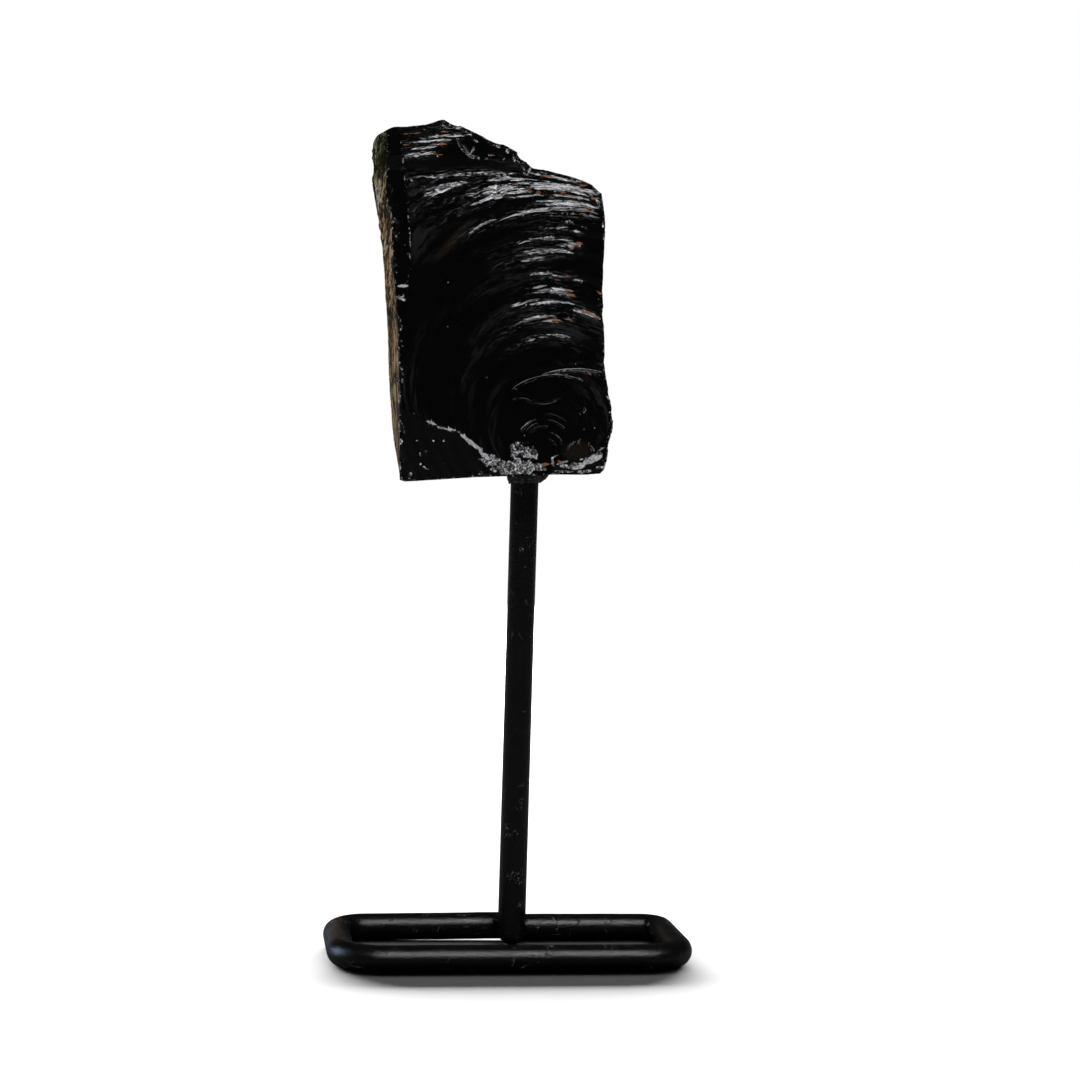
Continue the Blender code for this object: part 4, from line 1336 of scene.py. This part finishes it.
def flake_highlights(glass):
    """Painted highlights on frosted flakes along the ripples, with a faint halo of them round the streaks.
    """
    # The painted highlight is brighter up in the bands, toward the right, at the top and on the front.
    glow = largest(between(glass.fibres["Mask"], *FILL_GLOW), glass.hairs * HAIR_GLOW)
    glow = glow * between(glass.cracks, *CRACK_GLOW)
    glow = glow * step(glass.height_up, *BAND_GLOW)
    glow = glow * step(glass.from_left, *RIGHT_GLOW)
    glow = glow * step(glass.height_up, *TOP_GLOW)
    streaks = step(glass.flaky + glass.ragged, *STREAK_EDGE) * glow
    streaks = streaks * step(glass.flaky, *MARK_EDGE) * between(glass.front, *FRONT_GLOW)
    halo = glass.stored("halo") * glass.hairs * step(glass.fibres["Height"], *HALO_FIBRES)
    faint = step(glass.patches, *FAINT_PATCHES) * glass.stored("rippled") * glass.flakes["Mask"]
    return largest(streaks, halo * HALO_STREAKS, faint * FAINT_STREAKS)


def crushed_glass(glass, crushed):
    """Silvery veins and threads where the glass is crushed, split by dark lines."""
    rubble = tilted(glass.crumbs, RAGGED_BY_CRUMBS) + tilted(noise(glass.place, *RUBBLE), RAGGED_BY_RUBBLE)
    broken = step(crushed + rubble, *CRUSHED_EDGE) * step(crushed, *MARK_EDGE)
    veins = pattern("silver veins", glass.place)["Mask"]
    silver = largest(veins * VEIN_GLOW, glass.threads * THREAD_GLOW)
    broken = broken * maths('MAXIMUM', silver, CRUSHED_GLOW)
    return broken * between(pattern("splits", glass.place)["Mask"], *SPLIT_GLOW)


def other_frost_and_highlights(glass):
    """Crisp arcs with painted highlights, smooth bevels with painted reflections, sharp ridges with painted
    glints, and scattered dots.
    """
    # Painted highlight along each crisp arc.
    line = 1.0 - step(abs(glass.stored("line distance")), *LINE_EDGE)
    line = line * glass.stored("lines") * between(glass.fibres["Mask"], *LINE_GLOW)
    # Painted reflection on the smooth bevels.
    bevel = step(glass.stored("bevels") + tilted(glass.crumbs, BEVEL_RAGGED), *BEVEL_EDGE)
    bevel = bevel * between(glass.fibres["Mask"], *BEVEL_GLOW) * between(glass.threads, *BEVEL_THREAD_GLOW)
    # Painted glints on the wear along sharp ridges.
    nicks = step(noise(glass.place, *NICKS), *NICK_EDGE)
    wear_and_glints = glass.stored("wear") * nicks * between(glass.front, *WORN_GLINT_GLOW)
    dots = pattern("dots", glass.place)["Mask"] * DOT_GLOW
    return line, bevel, wear_and_glints, dots


def left_reflection(glass, left, settings):
    """Colour of the painted reflection on the left side, and how much of it covers the glass."""
    mottled = noise(glass.place, *MOTTLED)
    speckled = noise(glass.place, *SPECKLED)
    wavering = vector_maths('ADD', glass.straight, scaled(glass.drift, LAYER_DRIFT))
    slanted = pattern("slanted layers", wavering)
    upright = add(glass.tree, "ShaderNodeCombineXYZ", {0: glass.height_up, 1: glass.depth_back, 2: 0.0})[0]
    stripes = pattern("upright stripes", upright)["Mask"]
    greener = step(glass.height_up + tilted(glass.patches, GREEN_REFLECTION_RAGGED), *GREEN_REFLECTION_FROM)
    high = step(glass.height_up + tilted(mottled, LAYERS_RAGGED), *LAYERS_FROM)

    # Painted reflection of green and tan surroundings, green high up.
    lower_reflection = blend_colour(step(speckled, *LOWER_REFLECTION_SPECKLES), settings.green_reflection, settings.reflection_tint)
    lower_reflection = blend_colour(step(noise(glass.place, *BROWN_BLOTCHES), *LOWER_REFLECTION_BROWN), lower_reflection, settings.rust)
    reflection_tint = blend_colour(greener, lower_reflection, settings.green_reflection)
    # Pale lines of painted reflection in the slanted layers.
    pale = slanted["Lines"] * step(mottled, *PALE_PATCHES) * between(high, *PALE_GLOW)
    reflection_tint = blend_colour(pale, reflection_tint, settings.frost_and_highlight)

    layers = largest(slanted["Mask"] * high, stripes * (1.0 - high))
    cover = left * step(mottled + tilted(speckled, BARE_RAGGED), *BARE_EDGE) * between(layers, *LAYER_COVER)
    cover = cover * step(glass.height_up, *LOW_COVER)
    # The painted reflection grows stronger at a flat angle.
    flat_view = add(glass.tree, "ShaderNodeLayerWeight", {"Blend": 0.5})["Facing"]
    return reflection_tint, cover * step(flat_view, *GRAZING_COVER)


def obsidian_material(settings):
    """Black volcanic glass with frosted flakes and their painted highlights, reddish-brown specks, brown
    tinted ovals, rough ridges with painted glints, and a painted reflection on the left side.
    """
    material, shader, place = new_material("obsidian glass")
    glass = Glass(place)
    left = glass.stored("left side")
    crushed = glass.stored("crushed")
    rust = glass.stored("rust")
    # Frost with the painted highlights, reflections and glints on it.
    frost_and_highlight = largest(flake_highlights(glass), crushed_glass(glass, crushed), *other_frost_and_highlights(glass))
    reflection_tint, cover = left_reflection(glass, left, settings)

    # Brown tint in the ovals, the painted reflection on the left side, then frost with painted highlights
    # over both.
    body = blend_colour(glass.stored("smoky"), settings.glass, settings.brown_tint)
    body = blend_colour(cover, body, reflection_tint)
    body = blend_colour(frost_and_highlight, body, settings.frost_and_highlight)
    # Reddish-brown specks.
    reddish_speck_mask = step(rust + glass.ragged * REDDISH_RAGGED, *REDDISH_EDGE)
    reddish_speck_mask = reddish_speck_mask * step(rust, *REDDISH_FADE) * step(glass.fibres["Height"], *REDDISH_FIBRES)
    base = blend_colour(reddish_speck_mask, body, settings.rust)

    roughness = step(largest(frost_and_highlight, reddish_speck_mask, cover), 0.0, 1.0, settings.gloss, DULL_ROUGHNESS)
    height = glass.flakes["Height"] * between(left, *FLAKE_BUMP)
    height = height + glass.fibres["Height"] * glass.flaky * FIBRE_BUMP
    height = height + glass.crumbs * crushed * FIBRE_BUMP
    set_surface(shader, base, roughness, height, GLASS_BUMP)
    shader.inputs["IOR"].default_value = GLASS_IOR
    return material


def paint_material(name, settings, dust_share, scratch_share, scuff_share):
    """Black satin paint with a fine grain, dust, scratches and fine scuffs."""
    material, shader, place = new_material(name)
    tone = noise(place, *PAINT_TONE)
    dust = pattern("paint dust", place, Share=dust_share)["Mask"] * DUST_GLOW
    scratches = pattern("scratches", place)["Mask"] * step(noise(place, *SCRATCHED_PATCHES), *SCRATCHED_EDGE)
    scuffs = pattern("fine scuffs", place)["Mask"] * step(noise(place, *SCUFFED_PATCHES), *SCUFFED_EDGE)
    scratched = largest(scratches * scratch_share, scuffs * scuff_share)
    dark = [c * PAINT_DARK for c in settings.paint]
    light = [c * PAINT_LIGHT for c in settings.paint]
    base = blend_colour(largest(dust, scratched), blend_colour(tone, dark, light), settings.scuff)
    low, high, least, most = PAINT_ROUGHNESS
    roughness = step(tone, low, high, settings.paint_roughness * least, settings.paint_roughness * most)
    height = noise(place, *PAINT_PEEL) + scratched * SCRATCH_BUMP
    set_surface(shader, base, roughness, height, PAINT_BUMP)
    return material


def glue_material(settings):
    """Dark glue that is mixed with dust and crumbs of glass."""
    material, shader, place = new_material("glue")
    lumps = noise(place, *GLUE_LUMPS)
    mask = largest(pattern("glue dust", place)["Mask"] * DUST_GLOW,
                   pattern("glue veins", place)["Mask"] * GLUE_VEIN_GLOW)
    base = blend_colour(mask * step(lumps, *GLUE_LUMP_EDGE), settings.glue, settings.grain)
    set_surface(shader, base, step(lumps, *GLUE_ROUGHNESS), lumps, GLUE_BUMP, GLUE_BUMP_STRENGTH)
    return material


# ---------------------------------------------------------------- the stand
def rod_tree():
    """A round rod swept along a line, a little uneven, with beads if it is a weld."""
    tree, given, sink = new_group("bent rod", 'GeometryNodeTree', {
        "Geometry": ["Geometry"],
        "Float": ["Diameter", "Point every", "Wander", "Bead height", "Beads"],
        "Int": ["Sides", "Seed"],
        "Material": ["Material"],
    }, {"Geometry": ["Geometry"]})
    line = add(tree, "GeometryNodeMeshToCurve", {0: given["Geometry"]})[0]
    line = add(tree, "GeometryNodeResampleCurve", {"Curve": line, "Length": given["Point every"]},
               mode='LENGTH')[0]
    way = add(tree, "GeometryNodeSplineParameter")["Factor"]
    bead = abs(maths('SINE', way * (given["Beads"] * math.pi)))
    section = add(tree, "GeometryNodeCurvePrimitiveCircle",
                  {"Resolution": given["Sides"], "Radius": given["Diameter"] * 0.5})[0]
    swept = add(tree, "GeometryNodeCurveToMesh",
                {"Curve": line, "Profile Curve": section, "Fill Caps": True,
                 "Scale": maths('MULTIPLY_ADD', bead, given["Bead height"], 1.0)})[0]
    place = add(tree, "GeometryNodeInputPosition")[0]
    uneven = tilted(noise(place, *ROD_NOISE, given["Seed"]), given["Wander"])
    close_geometry(raised(tree, swept, uneven), given["Material"], sink)
    return tree


def loop_path(settings):
    """Centreline of the bent rod, from its left end round the front to its right end."""
    rod = settings.rod_diameter / MM
    half_x = (settings.loop_width / MM - rod) / 2.0
    front = LOOP_LOW.y / MM + rod / 2.0
    back = LOOP_HIGH.y / MM - rod / 2.0
    rest_z = LOOP_LOW.z / MM + rod / 2.0
    points = [(SEAM_X - SEAM_GAP / 2.0, back, rest_z + SEAM_LEFT_LIFT)]
    corners = [("back left", -1, back, 90.0, 0.0), ("front left", -1, front, 180.0, 0.0),
               ("front right", 1, front, 270.0, 0.0), ("back right", 1, back, 0.0, SEAM_RIGHT_SHIFT)]
    for corner, side_x, edge_y, start, shift in corners:
        radius = BEND_R[corner]
        centre_x = side_x * (half_x - radius)
        centre_y = edge_y + (radius if edge_y == front else -radius) + shift
        for turn in range(BEND_STEPS + 1):
            angle = math.radians(start + 90.0 * turn / BEND_STEPS)
            points.append((centre_x + radius * math.cos(angle), centre_y + radius * math.sin(angle), rest_z))
    points.append((SEAM_X + SEAM_GAP / 2.0, back + SEAM_RIGHT_SHIFT, rest_z))
    return points


def make_loop(settings, tree, material):
    loop = line_object("stand_loop", loop_path(settings))
    use_nodes(loop, tree, settings, diameter=settings.rod_diameter, sides=settings.rod_sides,
              point_every=ROD_POINT_EVERY, wander=settings.rod_wander, seed=ROD_SEED, material=material)
    finish_piece(loop, "base_loop", ROD_SHARP)


def make_post(settings, material):
    """The upright, with a rounded foot and a flat top inside the stone."""
    radius = settings.post_diameter / 2.0 / MM
    top = POST_HIGH.z / MM
    foot_top = POST_FOOT_Z + POST_FOOT_ROUND
    profile = [(0.0, top)] + [(radius, mix(top, foot_top, row / POST_ROWS)) for row in range(POST_ROWS)]
    for turn in range(FOOT_STEPS):
        angle = math.radians(90.0 * turn / FOOT_STEPS)
        profile.append((radius * math.cos(angle), POST_FOOT_Z + POST_FOOT_ROUND * (1.0 - math.sin(angle))))
    profile.append((0.0, POST_FOOT_Z))
    post = line_object("stand_post", [(r, 0.0, z) for r, z in profile])
    screw = post.modifiers.new("turn", 'SCREW')
    screw.axis = 'Z'
    screw.steps = POST_SIDES
    screw.render_steps = POST_SIDES
    screw.use_merge_vertices = True
    screw.merge_threshold = MERGE
    settle(post)
    post.data.transform(Matrix.Translation((POST_CENTRE.x, POST_CENTRE.y, 0.0)))
    face_outward(post.data)
    post.data.materials.append(material)
    finish_piece(post, "post", ROD_SHARP)


def make_weld(settings, tree, material):
    """The bead in the crotch above the back rod, behind the post."""
    centre = POST_CENTRE / MM
    rod_radius = settings.rod_diameter / 2.0 / MM
    rod_y = LOOP_HIGH.y / MM - rod_radius + SEAM_RIGHT_SHIFT
    from_post = settings.post_diameter / 2.0 / MM + GAP + WELD_R
    from_rod = rod_radius + GAP + WELD_R
    points = []
    for turn in range(WELD_POINTS):
        angle = math.radians(90.0 + WELD_HALF_ANGLE * (1.0 - 2.0 * turn / (WELD_POINTS - 1)))
        y = centre.y + from_post * math.sin(angle)
        rise = math.sqrt(max(0.0, from_rod**2 - (rod_y - y) ** 2))
        points.append((centre.x + from_post * math.cos(angle), y, rod_radius + rise))
    weld = line_object("weld_bead", points)
    use_nodes(weld, tree, settings, diameter=2.0 * WELD_R * MM, sides=WELD_SIDES,
              point_every=WELD_POINT_EVERY, wander=WELD_WANDER, bead_height=WELD_BEAD_HEIGHT,
              beads=WELD_BEADS, seed=WELD_SEED, material=material)
    finish_piece(weld, "weld", ROD_SHARP)


def glue_tree():
    """Glue made lumpy, with crumbs stuck in it."""
    tree, given, sink = new_group("crumbly glue", 'GeometryNodeTree', {
        "Geometry": ["Geometry"],
        "Float": ["Lump height", "Grain size", "Grain density"],
        "Int": ["Seed"],
        "Material": ["Material"],
    }, {"Geometry": ["Geometry"]})
    seed = given["Seed"]
    place = add(tree, "GeometryNodeInputPosition")[0]
    lumps = tilted(noise(place, *LUMP_NOISE, seed), given["Lump height"] * 2.0)
    body = raised(tree, given["Geometry"], lumps)
    points = add(tree, "GeometryNodeDistributePointsOnFaces",
                 {"Mesh": body, "Density": given["Grain density"], "Seed": seed})
    crumb = add(tree, "GeometryNodeMeshIcoSphere", {"Radius": given["Grain size"], "Subdivisions": 1})[0]
    scale = add(tree, "FunctionNodeRandomValue", {"Min": GRAIN_LEAST, "Max": GRAIN_MOST, "Seed": seed},
                data_type='FLOAT_VECTOR')[0]
    placed = add(tree, "GeometryNodeInstanceOnPoints",
                 {"Points": points["Points"], "Instance": crumb, "Rotation": points["Rotation"],
                  "Scale": scale})[0]
    both = tree.nodes.new("GeometryNodeJoinGeometry")
    put(both.inputs[0], placed)
    put(both.inputs[0], body)
    close_geometry(Signal(both.outputs[0]), given["Material"], sink)
    return tree


def make_glue(settings):
    """The lopsided ring of glue round the post, just under the stone, narrower below."""
    inner = POST_R + GAP
    centre = POST_CENTRE / MM
    verts = []
    for turn in range(GLUE_SIDES):
        angle = 2.0 * math.pi * turn / GLUE_SIDES
        lean = GLUE_LEAN * max(0.0, math.cos(angle - math.radians(GLUE_LEAN_ANGLE)))
        rows = []
        for row in range(GLUE_ROWS + 1):
            drop = row / GLUE_ROWS
            rows.append((inner + (GLUE_WALL + lean) * (1.0 - drop) ** GLUE_FLARE, drop))
        for radius, drop in rows + [(inner, 0.0)]:
            x = centre.x + radius * math.cos(angle)
            y = centre.y + radius * math.sin(angle)
            verts.append((x, y, underside_z(x) - GAP - drop * GLUE_HEIGHT))
    column = len(verts) // GLUE_SIDES
    faces = []
    for turn in range(GLUE_SIDES):
        here = turn * column
        there = (turn + 1) % GLUE_SIDES * column
        for row in range(column):
            below = (row + 1) % column
            faces.append((here + row, there + row, there + below, here + below))
    glue = mesh_object("glue_ring", verts, faces)
    face_outward(glue.data)
    use_nodes(glue, glue_tree(), settings, material=glue_material(settings))
    finish_piece(glue, "glue_collar", GLUE_SHARP)


# ---------------------------------------------------------------- the stage
def make_floor(settings):
    """A round pale floor, which gloss sees as darker than the eye does."""
    bm = bmesh.new()
    bmesh.ops.create_circle(bm, cap_ends=True, segments=FLOOR_SIDES, radius=settings.floor_radius)
    floor = bmesh_object("floor", bm)
    material, shader, place = new_material("floor")
    is_glossy = add(place.tree, "ShaderNodeLightPath")["Is Glossy Ray"]
    distance = add(place.tree, "ShaderNodeVectorMath", {0: place}, operation='LENGTH')["Value"]
    dark = [c * FLOOR_IN_GLOSS for c in settings.floor]
    put(shader.inputs["Base Color"], blend_colour(is_glossy, settings.floor, dark))
    put(shader.inputs["Emission Strength"], step(distance, *FLOOR_WHITENS) * (1.0 - is_glossy))
    put(shader.inputs["Emission Color"], (*WHITE, 1.0))
    put(shader.inputs["Roughness"], 1.0)
    put(shader.inputs["Specular IOR Level"], 0.0)
    floor.data.materials.append(material)


def make_card():
    """A dim coloured card behind the stone on the left, for its left side to mirror."""
    left, low = CARD_LOW
    right, high = CARD_HIGH
    corners = [(left, CARD_Y, low), (right, CARD_Y, low), (right, CARD_Y, high), (left, CARD_Y, high)]
    card = mesh_object("card", corners, [(0, 1, 2, 3)])
    material, shader, place = new_material("card")
    tree = place.tree
    tree.nodes.remove(shader)
    across_card, _, up_card = add(tree, "ShaderNodeSeparateXYZ", {0: place})
    leaves = blend_colour(step(up_card, *CARD_TAN_TO_GREEN), CARD_TAN, CARD_GREEN)
    low_part = blend_colour(step(across_card, *CARD_GREY_TO_BLUE), CARD_GREY, CARD_BLUE)
    leaves = blend_colour(step(up_card, *CARD_LOW_PART), leaves, low_part)
    blotches = step(noise(place, *BLOTCHES), *CARD_BLOTCHES)
    leaves = blend_colour(blotches, CARD_DARK, leaves)
    glow = add(tree, "ShaderNodeEmission", {"Strength": 1.0, "Color": leaves})
    put(tree.nodes["Material Output"].inputs["Surface"], glow[0])
    card.data.materials.append(material)
    card.visible_camera = False
    card.visible_diffuse = False
    card.visible_shadow = False
    card.visible_transmission = False


def make_light(name, place, size_of, power, tint, mirrored, piece_names):
    """A soft rectangular light aimed at the object, for the named pieces only if there
    are any."""
    light = bpy.data.lights.new(name, 'AREA')
    light.shape = 'RECTANGLE'
    light.size, light.size_y = size_of
    light.energy = power
    light.color = tint
    made = link(bpy.data.objects.new(name, light))
    way = Vector(AIM) - Vector(place)
    made.matrix_world = Matrix.Translation(place) @ way.to_track_quat('-Z', 'Y').to_matrix().to_4x4()
    made.visible_camera = False
    made.visible_glossy = mirrored
    if piece_names:
        lit = bpy.data.collections.new("lit by the " + name)
        for piece_name in piece_names:
            lit.objects.link(bpy.data.objects[piece_name])
        made.light_linking.receiver_collection = lit


def make_world():
    """White behind the object for the eye, dim for everything else."""
    world = bpy.data.worlds.new("studio")
    world.use_nodes = True
    background = world.node_tree.nodes["Background"]
    to_camera = add(world.node_tree, "ShaderNodeLightPath")["Is Camera Ray"]
    put(background.inputs["Strength"], between(to_camera, WORLD_DIM, 1.0))
    put(background.inputs["Color"], (*WHITE, 1.0))
    bpy.context.scene.world = world


def make_camera():
    """The camera that looks a little down at the object from its left."""
    camera = bpy.data.cameras.new("camera")
    camera.lens = CAMERA_LENS
    camera.sensor_width = CAMERA_SENSOR
    camera.clip_start = CAMERA_NEAREST
    made = link(bpy.data.objects.new("camera", camera))
    made.matrix_world = (Matrix.Translation(CAMERA_PLACE) @ Matrix.Rotation(-CAMERA_YAW, 4, 'Z')
                         @ Matrix.Rotation(math.pi / 2.0 + CAMERA_PITCH, 4, 'X')
                         @ Matrix.Rotation(CAMERA_ROLL, 4, 'Z'))
    bpy.context.scene.camera = made


# ---------------------------------------------------------------- operators and panel
class OBSIDIAN_OT_make_stone(bpy.types.Operator):
    """Make the broken block of obsidian with its post hole"""
    bl_idname = "obsidian.make_stone"
    bl_label = "Make the stone"

    def execute(self, context):
        make_stone(context.scene.obsidian_stone)
        return {'FINISHED'}


class OBSIDIAN_OT_make_stand(bpy.types.Operator):
    """Make the bent loop, the post and the weld between them"""
    bl_idname = "obsidian.make_stand"
    bl_label = "Make the stand"

    def execute(self, context):
        settings = context.scene.obsidian_stand
        tree = rod_tree()
        loop_paint, post_paint, weld_paint = [
            paint_material("black paint on the " + name, settings, *shares) for name, *shares in PAINT_MARKS]
        make_loop(settings, tree, loop_paint)
        make_post(settings, post_paint)
        make_weld(settings, tree, weld_paint)
        return {'FINISHED'}


class OBSIDIAN_OT_make_glue(bpy.types.Operator):
    """Make the glue between the post and the stone"""
    bl_idname = "obsidian.make_glue"
    bl_label = "Make the glue"

    def execute(self, context):
        make_glue(context.scene.obsidian_glue)
        return {'FINISHED'}


class OBSIDIAN_OT_set_stage(bpy.types.Operator):
    """Set the floor, the lights and the camera"""
    bl_idname = "obsidian.set_stage"
    bl_label = "Set the stage"

    def execute(self, context):
        settings = context.scene.obsidian_stage
        make_floor(settings)
        make_card()
        make_world()
        for name, place, size_of, power, *others in LIGHTS:
            make_light(name, place, size_of, power * settings.brightness, *others)
        make_camera()
        context.scene.view_settings.view_transform = 'Standard'
        return {'FINISHED'}


class OBSIDIAN_PT_make(bpy.types.Panel):
    """Lists the pieces with their settings"""
    bl_label = "Obsidian on a stand"
    bl_idname = "OBSIDIAN_PT_make"
    bl_space_type = 'VIEW_3D'
    bl_region_type = 'UI'
    bl_category = "Obsidian"

    def draw(self, context):
        for name, _, operator in ROWS:
            box = self.layout.box()
            settings = getattr(context.scene, name)
            for setting in settings.__annotations__:
                box.prop(settings, setting)
            box.operator(operator.bl_idname)


# The settings on the scene, their class, and the operator that uses them.
ROWS = [
    ("obsidian_stone", StoneSettings, OBSIDIAN_OT_make_stone),
    ("obsidian_stand", StandSettings, OBSIDIAN_OT_make_stand),
    ("obsidian_glue", GlueSettings, OBSIDIAN_OT_make_glue),
    ("obsidian_stage", StageSettings, OBSIDIAN_OT_set_stage),
]
CLASSES = [cls for row in ROWS for cls in row[1:]] + [OBSIDIAN_PT_make]


def register():
    for cls in CLASSES:
        bpy.utils.register_class(cls)
    for name, settings, _ in ROWS:
        setattr(bpy.types.Scene, name, PointerProperty(type=settings))


def unregister():
    for name, _, _ in ROWS:
        delattr(bpy.types.Scene, name)
    for cls in reversed(CLASSES):
        bpy.utils.unregister_class(cls)


def main():
    register()
    make_shared_effects()
    bpy.ops.obsidian.make_stone()
    bpy.ops.obsidian.make_stand()
    bpy.ops.obsidian.make_glue()
    bpy.ops.obsidian.set_stage()


if __name__ == "__main__":
    main()
